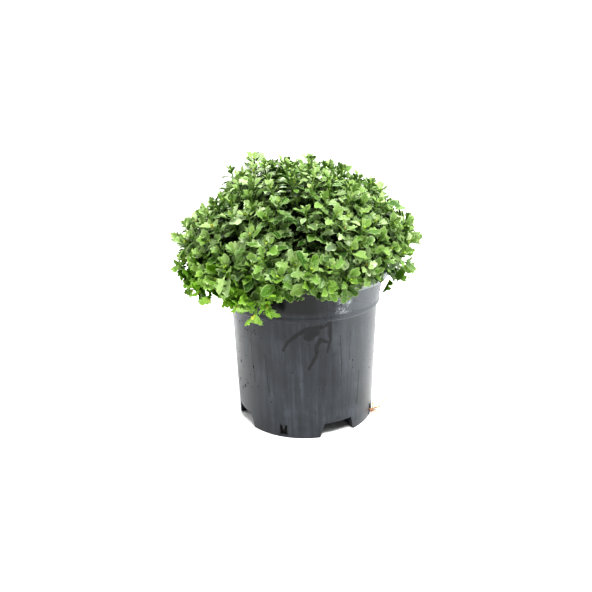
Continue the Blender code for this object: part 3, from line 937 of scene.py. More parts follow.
leafSettings = {
    "bladeLength": 0.0160,
    "petioleLength": 0.0060,
    "petioleRadius": 0.00045,
    "thickness": 0.00030,
    # half outlines from base to tip: share along the blade, share of its length across
    "outlines": {
        "lobed": [
            (0.00, 0.03), (0.24, 0.08), (0.34, 0.30), (0.46, 0.38), (0.54, 0.31), (0.57, 0.16),
            (0.67, 0.38), (0.79, 0.36), (0.82, 0.17), (0.94, 0.17), (1.03, 0.0),
        ],
        "broad": [
            (0.00, 0.03), (0.18, 0.10), (0.25, 0.33), (0.38, 0.39), (0.44, 0.20), (0.54, 0.45),
            (0.68, 0.46), (0.73, 0.21), (0.85, 0.28), (0.96, 0.15), (1.02, 0.0),
        ],
        "oval": [
            (0.00, 0.03), (0.18, 0.12), (0.34, 0.27), (0.50, 0.35), (0.57, 0.29),
            (0.70, 0.33), (0.80, 0.25), (0.84, 0.19), (0.94, 0.13), (1.00, 0.0),
        ],
        "young": [
            (0.00, 0.05), (0.20, 0.14), (0.33, 0.34), (0.45, 0.36), (0.50, 0.16), (0.62, 0.38),
            (0.75, 0.33), (0.79, 0.15), (0.92, 0.16), (1.00, 0.0),
        ],
    },
    # outline, fold, droop of the tip, sideways bend, lopsidedness, wave
    "kinds": (
        ("young", 0.55, -0.06, 0.00, 0.00, 0.0),
        ("young", 0.40, -0.04, 0.05, 0.06, 0.2),
        ("lobed", 0.22, 0.12, 0.03, 0.05, 0.5),
        ("lobed", 0.36, 0.26, -0.05, -0.07, 0.9),
        ("broad", 0.18, 0.16, 0.02, 0.06, 0.8),
        ("broad", 0.32, 0.06, -0.03, -0.04, 1.0),
        ("lobed", 0.48, 0.02, -0.04, -0.03, 0.7),
        ("oval", 0.25, 0.20, 0.06, 0.05, 0.4),
    ),
}


def makeLeaf(name, kind):
    s = leafSettings
    outlineName, fold, droop, bend, lopsided, wave = kind
    outline = s["outlines"][outlineName]
    length, stalk = s["bladeLength"], s["petioleLength"]
    bm = bmesh.new()
    rim = bm.verts.layers.float.new("rim")
    under = bm.faces.layers.float.new("under")
    leafMap = bm.loops.layers.uv.new("leafMap")
    flat = {}

    def point(along, across, lift=0.0, edge=1.0):
        x = (across * (1 + lopsided * math.copysign(1, across)) + bend * along ** 2) * length
        z = fold * abs(across) - droop * along ** 2
        z += 0.035 * wave * edge * math.sin(along * 17 + across * 9)
        vertex = bm.verts.new((x, stalk + along * length, z * length + lift))
        vertex[rim] = edge
        flat[vertex] = (0.5 + across, along)
        return vertex

    tip = point(*outline[-1])
    base = point(0.0, 0.0)
    halves = [[point(along, side * across) for along, across in outline[:-1]] for side in (1, -1)]
    for sign in (1, -1):
        ribs = [point(along, 0.0, sign * s["thickness"] / 2, 0.0) for along in (0.30, 0.58, 0.84)]
        for side, half in zip((1, -1), halves):
            loop = [base, *half, tip, *reversed(ribs)]
            if sign * side < 0:
                loop.reverse()
            face = bm.faces.new(loop)
            face[under] = 0.0 if sign > 0 else 1.0
    for face in bm.faces:
        for corner in face.loops:
            corner[leafMap].uv = flat[corner.vert]
    bmesh.ops.triangulate(bm, faces=bm.faces)
    outlineEdges = [e for e in bm.edges if e.verts[0][rim] and e.verts[1][rim]]
    sharp = [e for e in outlineEdges if len({f[under] for f in e.link_faces}) > 1]
    for edge in sharp:
        edge.smooth = False
    # the stalk is a closed three-sided tube that runs into the blade's base
    rings = []
    stalkRings = (0.0, 0.0, 1.25), (stalk * 0.6, 0.0004, 0.9), (stalk + length * 0.10, 0.0, 0.55)
    for y, z, radius in stalkRings:
        ring = []
        for corner in range(3):
            angle = math.tau * corner / 3 + math.pi / 2
            reach = s["petioleRadius"] * radius
            vertex = bm.verts.new((reach * math.cos(angle), y, z + reach * math.sin(angle)))
            vertex[rim] = 0.6
            ring.append(vertex)
        rings.append(ring)
    stalkFaces = [bm.faces.new(rings[0]), bm.faces.new(rings[-1][::-1])]
    for low, high in zip(rings, rings[1:]):
        for corner in range(3):
            after = (corner + 1) % 3
            stalkFaces.append(bm.faces.new([low[corner], high[corner], high[after], low[after]]))
    for face in stalkFaces:
        face[under] = 0.5
        for corner in face.loops:
            corner[leafMap].uv = (0.5, 0.0)
    bmesh.ops.triangulate(bm, faces=stalkFaces)
    return meshObject(name, bm)


leafLookSettings = {
    # tones from dark to pale: the darkest serve as painted shade for the inner tips, and the palest,
    # greyest as a painted sheen on the high ones
    "blade": (
        (0.0, "#123603"), (0.3, "#2a5809"), (0.58, "#587f2c"), (0.8, "#97ab79"), (1.0, "#c1cdae"),
    ),
    # the near black tint for older leaves is partly painted shade, and the vivid yellow green one is
    # painted light shining through leaves
    "tints": {
        "fresh": "#a1b96a",
        "old": "#092402",
        "shade": "#2f640f",
        "veinShare": "#b7d189",
        "margin": "#bccf96",
        "vivid": "#84b408",
        "under": "#5c8a38",
    },
}


def chrysanthemumLeaf():
    # a soft leaf with fine grey hairs: satin above, duller and greyer beneath, and a pale margin
    material, tree = newMaterial("chrysanthemumLeaf")
    known = {
        name: addNode(tree, "ShaderNodeAttribute", output="Fac", attribute_name=name)
        for name in ("tone", "age", "rim", "under", "vivid")
    }
    where = addNode(tree, "ShaderNodeTexCoord", output="Object")
    mottle = {"Vector": where, "Scale": 210.0, "Detail": 3.0}
    known["mottle"] = addNode(tree, "ShaderNodeTexNoise", mottle)
    leafMap = addNode(tree, "ShaderNodeUVMap", uv_map="leafMap")
    parts = addNode(tree, "ShaderNodeSeparateXYZ", leafMap, output=None)
    known["x"], known["y"] = parts["X"], parts["Y"]
    addSteps(tree, known, (
        ("fresh", "range", "age", 0.0, 0.45, 0.6, 0.0),
        # the older leaves low on a shoot stand in shade: a deeper green, darkened further by painted shade
        # nearly to black
        ("old", "range", "age", 0.25, 0.6, 0.0, 0.97),
        # mottling about 5 mm across
        ("shade", "range", "mottle", 0.3, 0.7, 0.0, 0.45),
        # veins fan out from the midrib, 3 mm apart
        ("across", "SUBTRACT", "x", 0.5),
        ("across", "ABSOLUTE", "across"),
        ("slanted", "MULTIPLY_ADD", "across", -1.1, "y"),
        ("ripple", "PINGPONG", "slanted", 0.09),
        ("nearest", "MINIMUM", "ripple", "across"),
        ("vein", "range", "nearest", 0.006, 0.03, 1.0, 0.0),
        ("veinShare", "MULTIPLY", "vein", 0.16),
        ("margin", "range", "rim", 0.74, 1.0, 0.0, 0.5),
        # painted light: low leaves and some hanging ones shine a vivid yellow green, as if lit through
        ("vivid", "MULTIPLY", "vivid", 0.8),
        ("under", "MULTIPLY", "under", 0.28),
        ("roughness", "range", "mottle", 0.0, 1.0, 0.27, 0.46),
    ))
    s = leafLookSettings
    known["colour"] = addNode(tree, "ShaderNodeValToRGB", known["tone"], stops=s["blade"])
    tints = [("colour", "tint", key, "colour", code) for key, code in s["tints"].items()]
    addSteps(tree, known, tints)
    bump = {"Height": known["vein"], "Strength": 0.5, "Distance": 0.0002}
    shader = addNode(tree, "ShaderNodeBsdfPrincipled", {
        "Base Color": known["colour"], "Roughness": known["roughness"],
        "Normal": addNode(tree, "ShaderNodeBump", bump, invert=True), "IOR": 1.45,
        "Specular IOR Level": 0.5,
    })
    through = addNode(tree, "ShaderNodeBsdfTranslucent", known["colour"])
    surface = addNode(tree, "ShaderNodeMixShader", 0.11, shader, through)
    addNode(tree, "ShaderNodeOutputMaterial", surface)
    return material


def flowerBud():
    # a tight bud of overlapping scales, 4 mm across: yellow green, some with a brown tinge
    material, tree = newMaterial("flowerBud")
    tone = addNode(tree, "ShaderNodeAttribute", output="Fac", attribute_name="tone")
    where = addNode(tree, "ShaderNodeTexCoord", output="Object")
    scales = addNode(tree, "ShaderNodeTexVoronoi", {"Vector": where, "Scale": 900.0})
    colour = addNode(
        tree, "ShaderNodeValToRGB", tone,
        stops=[(0.0, "#6f9430"), (0.6, "#94ae3f"), (0.9, "#aeb24c"), (1.0, "#98793f")],
    )
    known = {"colour": colour, "scales": scales}
    addSteps(tree, known, (
        ("darker", "MULTIPLY", "scales", 0.6),
        ("colour", "tint", "darker", "colour", "#5c7428"),
    ))
    shader = addNode(
        tree, "ShaderNodeBsdfPrincipled", {"Base Color": known["colour"], "Roughness": 0.5}
    )
    addNode(tree, "ShaderNodeOutputMaterial", shader)
    return material


def makeBud(name):
    # five-sided, widest at a third of its height, on a short stalk
    rings = ((0.0, 0.0004), (0.0022, 0.0005), (0.0032, 0.0017), (0.0046, 0.0019), (0.0058, 0.0011))
    bm = bmesh.new()
    rows = []
    for y, radius in rings:
        rows.append([bm.verts.new((x, y, z)) for x, z in ringPoints(6, radius)])
    for low, high in zip(rows, rows[1:]):
        for corner in range(6):
            after = (corner + 1) % 6
            bm.faces.new([low[corner], low[after], high[after], high[corner]])
    tip = bm.verts.new((0, 0.0063, 0))
    for corner in range(6):
        bm.faces.new([rows[-1][corner], rows[-1][(corner + 1) % 6], tip])
    bm.faces.new(rows[0][::-1])
    bmesh.ops.recalc_face_normals(bm, faces=bm.faces)
    return meshObject(name, bm)


def makeWhorlTree():
    # puts copies round each point's axis, one golden angle apart, from the youngest at the tip
    shares = (
        "Young share", "Tip tilt", "Base tilt", "Tilt jitter", "Spread share", "Spacing",
        "Lower spacing", "Tip size", "Base size", "Size jitter", "Golden angle",
    )
    tree, known = newCopyTree("whorl", (
        ("Tips", "Geometry"), ("Kinds", "Collection"), ("Count", "Int"), ("Young kinds", "Int"),
        ("All kinds", "Int"), *((name, "Float") for name in shares), ("Seed", "Int"),
        ("Material", "Material"),
    ))
    known |= heldValues(tree, axis="FLOAT_VECTOR", spin="FLOAT", tone="FLOAT", vigour="FLOAT")
    copies = addNode(
        tree, "GeometryNodeDuplicateElements",
        {"Geometry": known["Tips"], "Amount": known["Count"]}, output=None, domain="POINT",
    )
    known["index"] = copies["Duplicate Index"]
    addSteps(tree, known, (
        ("last", "SUBTRACT", "Count", 1.0),
        ("last", "MAXIMUM", "last", 1.0),
        ("share", "DIVIDE", "index", "last"),
        ("down", "MULTIPLY", "Tilt jitter", -1.0),
        ("smaller", "SUBTRACT", 1.0, "Size jitter"),
        ("larger", "ADD", 1.0, "Size jitter"),
    ))
    # each copy's random tilt, turn, roll, size, kind and tone
    jitters = (
        ("tiltBy", "down", "Tilt jitter"), ("turnBy", -0.3, 0.3), ("roll", -0.35, 0.35),
        ("sizeBy", "smaller", "larger"), ("pick", 0.0, 0.9999), ("toneBy", -0.20, 0.20),
    )
    for number, (name, low, high) in enumerate(jitters, 1):
        seed = addNode(tree, "ShaderNodeMath", known["Seed"], float(number), operation="ADD")
        inputs = {2: known.get(low, low), 3: known.get(high, high), "Seed": seed}
        known[name] = addNode(
            tree, "FunctionNodeRandomValue", inputs, output=1, data_type="FLOAT"
        )
    known["size"] = addNode(
        tree, "ShaderNodeMapRange", known["share"], 0.0, known["Spread share"],
        known["Tip size"], known["Base size"], interpolation_type="SMOOTHSTEP",
    )
    addSteps(tree, known, (
        ("size", "MULTIPLY", "size", "sizeBy"),
        ("size", "MULTIPLY", "size", "vigour"),
        ("tilt", "range", "share", 0.0, "Spread share", "Tip tilt", "Base tilt"),
        ("tilt", "ADD", "tilt", "tiltBy"),
        ("pitch", "SUBTRACT", math.pi / 2, "tilt"),
        ("turn", "MULTIPLY", "index", "Golden angle"),
        ("turn", "ADD", "turn", "spin"),
        ("turn", "ADD", "turn", "turnBy"),
        ("later", "SUBTRACT", "share", "Spread share"),
        ("later", "MAXIMUM", "later", 0.0),
        ("lower", "MULTIPLY", "later", "Count"),
        ("lower", "MULTIPLY", "lower", "Lower spacing"),
        ("along", "MULTIPLY_ADD", "index", "Spacing", "lower"),
        ("along", "MULTIPLY", "along", -1.0),
        # the young kinds come first in the collection
        ("isYoung", "LESS_THAN", "share", "Young share"),
        ("isOld", "SUBTRACT", 1.0, "isYoung"),
        ("firstKind", "MULTIPLY", "Young kinds", "isOld"),
        ("youngEnd", "MULTIPLY", "isYoung", "Young kinds"),
        ("oldEnd", "MULTIPLY", "isOld", "All kinds"),
        ("endKind", "ADD", "youngEnd", "oldEnd"),
        ("width", "SUBTRACT", "endKind", "firstKind"),
        ("kind", "MULTIPLY_ADD", "pick", "width", "firstKind"),
        ("kind", "FLOOR", "kind"),
        ("tone", "ADD", "tone", "toneBy"),
    ))
    shift = addNode(
        tree, "ShaderNodeVectorMath", {0: known["axis"], "Scale": known["along"]}, operation="SCALE"
    )
    points = addNode(
        tree, "GeometryNodeSetPosition", {"Geometry": copies["Geometry"], "Offset": shift}
    )
    turned = addNode(
        tree, "FunctionNodeAlignRotationToVector", {"Vector": known["axis"]}, axis="Z"
    )
    for axis, angle in (((0, 0, 1), "turn"), ((1, 0, 0), "pitch"), ((0, 1, 0), "roll")):
        by = addNode(tree, "FunctionNodeAxisAngleToRotation", axis, known[angle])
        turned = addNode(tree, "FunctionNodeRotateRotation", turned, by, rotation_space="LOCAL")
    known["turned"] = turned
    return finishCopyTree(tree, known, points, {"tone": known["tone"], "age": known["share"]})


def growOnTips(name, tree, tips, inputs):
    # tips are (point, axis, spin, tone, vigour, painted backlight)
    labels = ("axis", "spin", "tone", "vigour", "vivid")
    attributes = {label: [tip[index] for tip in tips] for index, label in enumerate(labels, 1)}
    return copiesAtPoints(name, tree, "whorl", [tip[0] for tip in tips], attributes, inputs)


domeSettings = {
    "centre": Vector((-0.0012, 0.0, 0.203)),
    "radius": 0.118,
    "rise": 0.078,
    "skirt": 0.075,
    "tips": 260,
    "innerTips": 140,
    "innerDepth": 0.017,
    "lowest": -22.0,
    "outward": 0.0040,
    "lumps": 0.0040,
    "upturn": 0.50,
    "wander": 0.30,
    # one side of the lower edge is lifted: azimuth and angle
    "liftedEdge": (45.0, 22.0),
    # where the dome stands in or out: azimuth, angle and half width in degrees, distance outward
    "swells": (
        (-117.0, 36.0, 20.0, -0.017),
        (64.0, 38.0, 24.0, -0.014),
        (48.0, 60.0, 16.0, -0.006),
        (-103.0, 62.0, 11.0, 0.013),
        (63.0, 0.0, 30.0, -0.004),
        (-117.0, 2.0, 22.0, 0.009),
    ),
    "gaps": ((-27.0, 16.0, 15.0), (-34.0, 31.0, 8.0), (-62.0, 22.0, 7.0)),
    # low leaves round this azimuth grow larger and shine as if lit through: azimuth and width in degrees
    "brightLow": (-85.0, 55.0),
    # height between the low and the high tips, and how far below and above it they reach in full
    "waist": 0.205,
    "lowReach": 0.030,
    "highReach": 0.050,
    "seed": 5,
}

shootNodes = sorted(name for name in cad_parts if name.startswith("shoot_"))
trailingNodes = sorted(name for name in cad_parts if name.startswith("trailing_shoot_"))


def domeDirection(azimuth, angle):
    raised = math.radians(angle)
    return around(azimuth, math.cos(raised), math.sin(raised))


def degreesBetween(direction, azimuth, angle):
    return math.degrees(direction.angle(domeDirection(azimuth, angle)))


def domeTip(azimuth, angle):
    # a point of the dome's uneven surface, and the way the surface faces there
    s = domeSettings
    liftAzimuth, liftAngle = s["liftedEdge"]
    toward = max(0.0, math.cos(math.radians(azimuth - liftAzimuth)))
    angle += liftAngle * toward ** 2 * (90.0 - angle) / (90.0 - s["lowest"])
    direction = domeDirection(azimuth, angle)
    tall = s["rise"] if direction.z > 0 else s["skirt"]
    flat = Vector((direction.x, direction.y, 0.0))
    point = s["centre"] + flat * s["radius"] + upward * direction.z * tall
    facing = (flat + upward * direction.z * s["radius"] / tall).normalized()
    outward = noise.noise(point * 26.0) * s["lumps"] * 2
    for swellAzimuth, swellAngle, width, amount in s["swells"]:
        away = degreesBetween(direction, swellAzimuth, swellAngle) / width
        outward += amount * math.exp(-(away ** 2))
    return point + facing * outward, facing, direction


def facingAt(point):
    s = domeSettings
    away = point - s["centre"]
    tall = s["rise"] if away.z > 0 else s["skirt"]
    wide, high = s["radius"] ** 2, tall ** 2
    return Vector((away.x / wide, away.y / wide, away.z / high)).normalized()


def wandered(rng, axis, amount):
    side = Vector((rng.gauss(0, 1), rng.gauss(0, 1), rng.gauss(0, 1)))
    return (axis + side * amount * 0.5).normalized()


def farthestPoint(rng, others):
    # of a dozen places on the dome, the one farthest from the other tips
    s = domeSettings
    best, bestGap = None, 0.0
    for _ in range(12):
        height = rng.uniform(math.sin(math.radians(s["lowest"])), 1.0)
        point, facing, direction = domeTip(
            rng.uniform(-180.0, 180.0), math.degrees(math.asin(height))
        )
        if any(degreesBetween(direction, *gap[:2]) < gap[2] for gap in s["gaps"]):
            continue
        gap = min(((point - other).length for other in others), default=1.0)
        if gap > bestGap:
            best, bestGap = (point, facing), gap
    return best


def makeTips():
    # each shoot has a tip at its middle. Side tips fill the dome between them, and inner tips
    # stand farther back, in the shade
    s = domeSettings
    rng = random.Random(s["seed"])
    owners = {name: boxCentre(name) for name in shootNodes}
    outer = [(point, facingAt(point)) for point in owners.values()]
    while len(outer) < s["tips"]:
        outer.append(farthestPoint(rng, [point for point, _ in outer]))
    inner = []
    while len(inner) < s["innerTips"]:
        inner.append(farthestPoint(rng, [point for point, _ in inner]))
    grown = {name: [] for name in shootNodes}
    brightAzimuth, brightWidth = s["brightLow"]
    for number, (point, facing) in enumerate(outer + inner):
        isInner = number >= len(outer)
        low = min(1.0, max(0.0, (s["waist"] - point.z) / s["lowReach"]))
        turn = math.degrees(math.atan2(point.x, -point.y))
        bright = low * math.exp(-(((turn - brightAzimuth + 180) % 360 - 180) / brightWidth) ** 2)
        axis = wandered(
            rng, (facing + upward * s["upturn"] * (1 - 0.9 * low)).normalized(), s["wander"]
        )
        back = s["innerDepth"] * rng.uniform(0.7, 1.3) if isInner else 0.0
        tip = point + facing * (s["outward"] + rng.gauss(0, 0.003) - back)
        high = min(1.0, max(0.0, (point.z - s["waist"]) / s["highReach"]))
        # tone: inner tips take the darkest as painted shade, high tips paler ones as painted sheen, low
        # tips darker ones, the rest at random
        tone = rng.gauss(0.1, 0.08) if isInner else rng.gauss(0.55 + 0.1 * high - 0.24 * low, 0.18)
        vigour = rng.uniform(0.76, 1.02) * (1.0 - 0.20 * high + 0.04 * low + 0.36 * bright)
        # painted light: low leaves, most round the lit azimuth, shine a vivid yellow green
        vivid = 0.0 if isInner else min(1.0, 0.22 * low + bright * rng.uniform(0.2, 1.0))
        owner = min(owners, key=lambda name: (owners[name] - point).length)
        tone = min(0.98, max(0.02, tone))
        grown[owner].append((tip, axis, rng.uniform(0, math.tau), tone, vigour, vivid))
    return grown


leafInputs = {
    "Count": 21,
    "Young kinds": 2,
    "All kinds": len(leafSettings["kinds"]),
    "Young share": 0.24,
    "Tip tilt": math.radians(24),
    "Base tilt": math.radians(84),
    "Tilt jitter": math.radians(16),
    "Spread share": 0.40,
    "Spacing": 0.0009,
    "Lower spacing": 0.0020,
    "Tip size": 0.60,
    "Base size": 1.0,
    "Size jitter": 0.28,
    "Golden angle": goldenAngle,
    "Seed": 3,
}
budInputs = {
    "Count": 2,
    "Young kinds": 0,
    "All kinds": 1,
    "Young share": 0.0,
    "Tip tilt": math.radians(4),
    "Base tilt": math.radians(24),
    "Tilt jitter": math.radians(8),
    "Spread share": 1.0,
    "Spacing": 0.0009,
    "Lower spacing": 0.0,
    "Tip size": 0.85,
    "Base size": 0.6,
    "Size jitter": 0.2,
    "Golden angle": goldenAngle,
    "Seed": 9,
}

trailingLeafInputs = dict(
    leafInputs, Count=12, Spacing=0.0024,
    **{"Young share": 0.12, "Tip size": 0.5, "Lower spacing": 0.0012},
)
# side tips of each hanging shoot: degrees round, outward and up from its middle, tone, vigour
trailingSideTips = {
    "trailing_shoot_left": (
        (9, -0.002, 0.002, 0.7, 1.15), (22, -0.004, 0.003, 0.6, 1.1), (-7, 0.006, 0.01, 0.55, 1.0),
    ),
    "trailing_shoot_front": ((6, 0.0, 0.008, 0.85, 1.25), (-9, 0.001, 0.005, 0.75, 1.1)),
    "trailing_shoot_right": ((-5, 0.003, 0.013, 0.55, 1.15), (3, 0.008, 0.004, 0.95, 1.0)),
}


def makeTrailingTips(tips):
    for name in trailingNodes:
        middle = boxCentre(name)
        outward = Vector((middle.x, middle.y, 0.0)).normalized()
        axis = (outward * 0.7 - upward * 0.6).normalized()
        tips[name] = [(middle + outward * 0.004 - upward * 0.002, axis, 1.0, 0.70, 1.15, 0.6)]
        for turn, out, up, tone, vigour in trailingSideTips[name]:
            point = Matrix.Rotation(math.radians(turn), 3, "Z") @ (middle + outward * out)
            point += upward * up
            side = Matrix.Rotation(math.radians(turn * 3), 3, "Z") @ axis
            # painted light: the hanging shoots on the left and front shine vivid yellow green, as if lit
            # through
            vivid = 0.1 if "right" in name else 0.85
            tips[name].append((point, side, turn * 0.7, tone, vigour, vivid))


def makeShoots(tips, tree, leafMaterial, budMaterial):
    kinds = enumerate(leafSettings["kinds"])
    leaves = [makeLeaf(f"leafKind{index}", kind) for index, kind in kinds]
    leafKinds = kindsCollection("leafKinds", leaves)
    bud = makeBud("budKind0")
    budKinds = kindsCollection("budKinds", [bud])
    for number, (name, grown) in enumerate(tips.items()):
        chosen = trailingLeafInputs if name in trailingNodes else leafInputs
        inputs = dict(
            chosen, Kinds=leafKinds, Material=leafMaterial, Seed=chosen["Seed"] + number * 11
        )
        place(growOnTips(f"{name}.leaves", tree, grown, inputs), "leaf", name)
        inputs = dict(
            budInputs, Kinds=budKinds, Material=budMaterial, Seed=budInputs["Seed"] + number * 7
        )
        place(growOnTips(f"{name}.buds", tree, grown, inputs), "leaf")
    for obj in leaves + [bud]:
        bpy.data.objects.remove(obj)


tips = makeTips()
makeTrailingTips(tips)
makeShoots(tips, makeWhorlTree(), chrysanthemumLeaf(), flowerBud())
print("shoots made:", sum(len(grown) for grown in tips.values()))


stemSettings = {
    "footRadius": 0.0030,
    "topRadius": 0.0020,
    "branchRadius": 0.0012,
    "tipRadius": 0.0007,
    "sides": 7,
    "rings": 9,
    "straightTail": 0.040,
    "firstAzimuth": 20.0,
    "azimuthStep": 72.0,
    "footReach": 0.024,
    "topReach": 0.036,
    "footDepth": 0.012,
    "topHeight": 0.064,
    "insideReach": 0.075,
}


def stemBark():
    # ribbed and half woody: tan and brown near the mix, green towards the tips
    material, tree = newMaterial("halfWoodyStem")
    age = addNode(tree, "ShaderNodeAttribute", output="Fac", attribute_name="age")
    colour = addNode(
        tree, "ShaderNodeValToRGB", age,
        stops=[(0.0, "#5d8428"), (0.35, "#6d7434"), (1.0, "#6e5636")],
    )
    where = addNode(tree, "ShaderNodeTexCoord", output="Object")
    streaks = addNode(tree, "ShaderNodeTexNoise", {"Vector": where, "Scale": 380.0, "Detail": 4.0})
    known = {"colour": colour, "streaks": streaks}
    addSteps(tree, known, (
        ("darker", "MULTIPLY", "streaks", 0.5),
        ("colour", "tint", "darker", "colour", "#2f3314"),
    ))
    bump = addNode(tree, "ShaderNodeBump", {"Height": streaks, "Strength": 0.4, "Distance": 0.0003})
    inputs = {"Base Color": known["colour"], "Normal": bump, "Roughness": 0.6}
    shader = addNode(tree, "ShaderNodeBsdfPrincipled", inputs)
    addNode(tree, "ShaderNodeOutputMaterial", shader)
    return material


def addTube(bm, ageLayer, path, radii, ages, sides):
    rings = []
    sideWay = Vector((1.0, 0.3, 0.0)).normalized()
    for index, point in enumerate(path):
        ahead = (path[min(index + 1, len(path) - 1)] - path[max(index - 1, 0)]).normalized()
        sideWay = (sideWay - ahead * sideWay.dot(ahead)).normalized()
        other = ahead.cross(sideWay)
        ring = []
        for corner in range(sides):
            angle = math.tau * corner / sides
            vertex = bm.verts.new(
                point + (sideWay * math.cos(angle) + other * math.sin(angle)) * radii[index]
            )
            vertex[ageLayer] = ages[index]
            ring.append(vertex)
        rings.append(ring)
    for low, high in zip(rings, rings[1:]):
        for corner in range(sides):
            after = (corner + 1) % sides
            bm.faces.new([low[corner], low[after], high[after], high[corner]])
    bm.faces.new(rings[0][::-1])
    bm.faces.new(rings[-1])


def taperedRow(start, end, steps):
    return [start + (end - start) * step / steps for step in range(steps + 1)]


def curvePoint(points, share):
    # de Casteljau on any number of control points
    points = list(points)
    while len(points) > 1:
        points = [one.lerp(two, share) for one, two in zip(points, points[1:])]
    return points[0]


def makeStems(tips, material):
    s = stemSettings
    stems = sorted(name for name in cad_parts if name.startswith("stem_"))
    rimTop, rimRadius = potSettings["height"], potSettings["rimRadius"]
    lines = {}
    for index, name in enumerate(stems):
        azimuth = s["firstAzimuth"] + s["azimuthStep"] * index
        foot = around(azimuth, s["footReach"], mixSurfaceHeight - s["footDepth"])
        lines[name] = (foot, around(azimuth, s["topReach"], mixSurfaceHeight + s["topHeight"]))
    grown = {name: [] for name in stems}
    for owner in tips.values():
        for tip in owner:
            turn = math.degrees(math.atan2(tip[0].x, -tip[0].y))
            nearest = round((turn - s["firstAzimuth"]) / s["azimuthStep"]) % len(stems)
            grown[stems[nearest]].append(tip)
    for name in stems:
        foot, top = lines[name]
        bm = bmesh.new()
        age = bm.verts.layers.float.new("age")
        path = [foot.lerp(top, step / 6) for step in range(7)]
        radii = taperedRow(s["footRadius"], s["topRadius"], 6)
        addTube(bm, age, path, radii, [1.0 - 0.5 * step / 6 for step in range(7)], 12)
        mine = sorted(grown[name], key=lambda tip: tip[0].z)
        for rank, (tip, axis, *_) in enumerate(mine):
            share = (rank + 0.5) / len(mine)
            start = foot.lerp(top, 0.42 + 0.56 * share)
            tail = tip - axis * s["straightTail"]
            flat = Vector((tip.x, tip.y, 0.0))
            if tip.z < rimTop + 0.01 and flat.length > rimRadius:
                outward = flat.normalized()
                over = outward * (rimRadius + 0.002) + upward * (rimTop + 0.016)
                controls = [start, (start + over) / 2 + upward * 0.012, over]
                path = [curvePoint(controls, step / 5) for step in range(6)]
                beyond = [over, over + (over - controls[1]) * 0.35, tip - axis * 0.018, tip]
                path += [curvePoint(beyond, step / 7) for step in range(1, 8)]
            else:
                if math.hypot(tail.x, tail.y) > s["insideReach"] and tail.z < rimTop + 0.012:
                    tail = tail + upward * (rimTop + 0.012 - tail.z)
                lift = start + (top - foot).normalized() * 0.018
                controls = [start, lift, tail - axis * 0.012, tail]
                path = [curvePoint(controls, step / s["rings"]) for step in range(s["rings"] + 1)]
                path += [tail.lerp(tip, step / 3) for step in range(1, 4)]
            last = len(path) - 1
            radii = taperedRow(s["branchRadius"], s["tipRadius"], last)
            ages = [0.55 * (1 - step / last) for step in range(last + 1)]
            addTube(bm, age, path, radii, ages, s["sides"])
        stem = meshObject(f"{name}.branches", bm, material)
        stem.data.set_sharp_from_angle(angle=math.radians(60))
        place(stem, "stem", name)


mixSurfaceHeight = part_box("potting_mix")[1].z - mixSettings["mound"]
makeStems(tips, stemBark())
print("stems made")


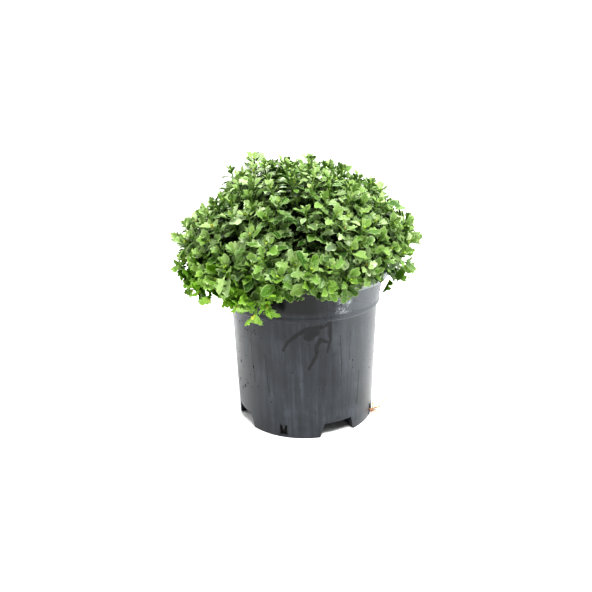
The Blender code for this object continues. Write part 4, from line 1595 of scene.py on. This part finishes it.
sprigSettings = {
    "azimuth": 45.0,
    "level": 0.0051,
    # radii at the two ends and tone (0 is root, 1 a pale sprout), then the bends: azimuth from
    # the slot's middle, distance out from the base and height above the sill
    "strands": (
        (0.0011, 0.0006, 0.05, (0, -0.001, 0), (2, 0.004, 0.0006), (5, 0.008, 0.0012),
         (8, 0.011, -0.0012)),
        (0.0009, 0.0005, 0.20, (0, -0.001, 0.001), (-3, 0.003, 0.0016), (-4, 0.007, 0.0006),
         (-1, 0.011, 0.0004)),
        (0.0007, 0.0004, 0.10, (1, 0.000, -0.001), (3, 0.003, -0.0016), (5, 0.006, -0.0030)),
        (0.0007, 0.0006, 0.92, (4, 0.007, 0.0010), (6, 0.010, 0.0028), (8, 0.0135, 0.0064),
         (8, 0.0150, 0.0078)),
        (0.0006, 0.0004, 0.80, (5, 0.008, 0.0006), (9, 0.011, 0.0010), (12, 0.0145, 0.0032)),
        (0.0008, 0.0010, 0.95, (2, 0.003, 0.0010), (0, 0.004, 0.0040), (1, 0.0035, 0.0070)),
        (0.0004, 0.0002, 0.15, (3, 0.005, 0.0006), (7, 0.006, -0.0010), (10, 0.0075, -0.0024)),
        (0.0004, 0.0002, 0.0, (0, 0.002, 0.0006), (-6, 0.004, 0.0002), (-9, 0.0065, -0.0016)),
    ),
    "tipBead": 0.0011,
}


def rootAndSprout():
    # young roots are tan to orange brown, and the sprouts that light has reached are pale green
    material, tree = newMaterial("youngRootAndSprout")
    tone = addNode(tree, "ShaderNodeAttribute", output="Fac", attribute_name="age")
    where = addNode(tree, "ShaderNodeTexCoord", output="Object")
    mottle = addNode(tree, "ShaderNodeTexNoise", {"Vector": where, "Scale": 900.0, "Detail": 3.0})
    varied = addNode(
        tree, "ShaderNodeMath", tone,
        addNode(tree, "ShaderNodeMapRange", mottle, 0.3, 0.7, -0.12, 0.12), operation="ADD",
    )
    colour = addNode(
        tree, "ShaderNodeValToRGB", varied,
        stops=[
            (0.0, "#8d5f43"), (0.3, "#bd9070"), (0.65, "#cdb98d"), (0.9, "#ced49c"),
            (1.0, "#97a56c"),
        ],
    )
    shader = addNode(tree, "ShaderNodeBsdfPrincipled", {"Base Color": colour, "Roughness": 0.5})
    addNode(tree, "ShaderNodeOutputMaterial", shader)
    return material


def makeSprig(material):
    s = sprigSettings
    base = potRadii()[3]
    bm = bmesh.new()
    age = bm.verts.layers.float.new("age")
    for thick, thin, tone, *bends in s["strands"]:
        controls = [
            around(s["azimuth"] + turn, base + out, s["level"] + up) for turn, out, up in bends
        ]
        path = [curvePoint(controls, step / 8) for step in range(9)]
        addTube(bm, age, path, taperedRow(thick, thin, 8), [tone] * 9, 8)
        if tone > 0.9:
            ahead = (path[-1] - path[-2]).normalized()
            bead = [path[-1] + ahead * s["tipBead"] * step for step in (-0.3, 0.3, 1.0, 1.7, 2.1)]
            radii = [s["tipBead"] * share for share in (0.5, 0.9, 1.0, 0.6, 0.15)]
            addTube(bm, age, bead, radii, [1.0] * 5, 8)
    place(meshObject("rootSprig", bm, material), "root", "root_sprig")


makeSprig(rootAndSprout())
print("root sprig made")
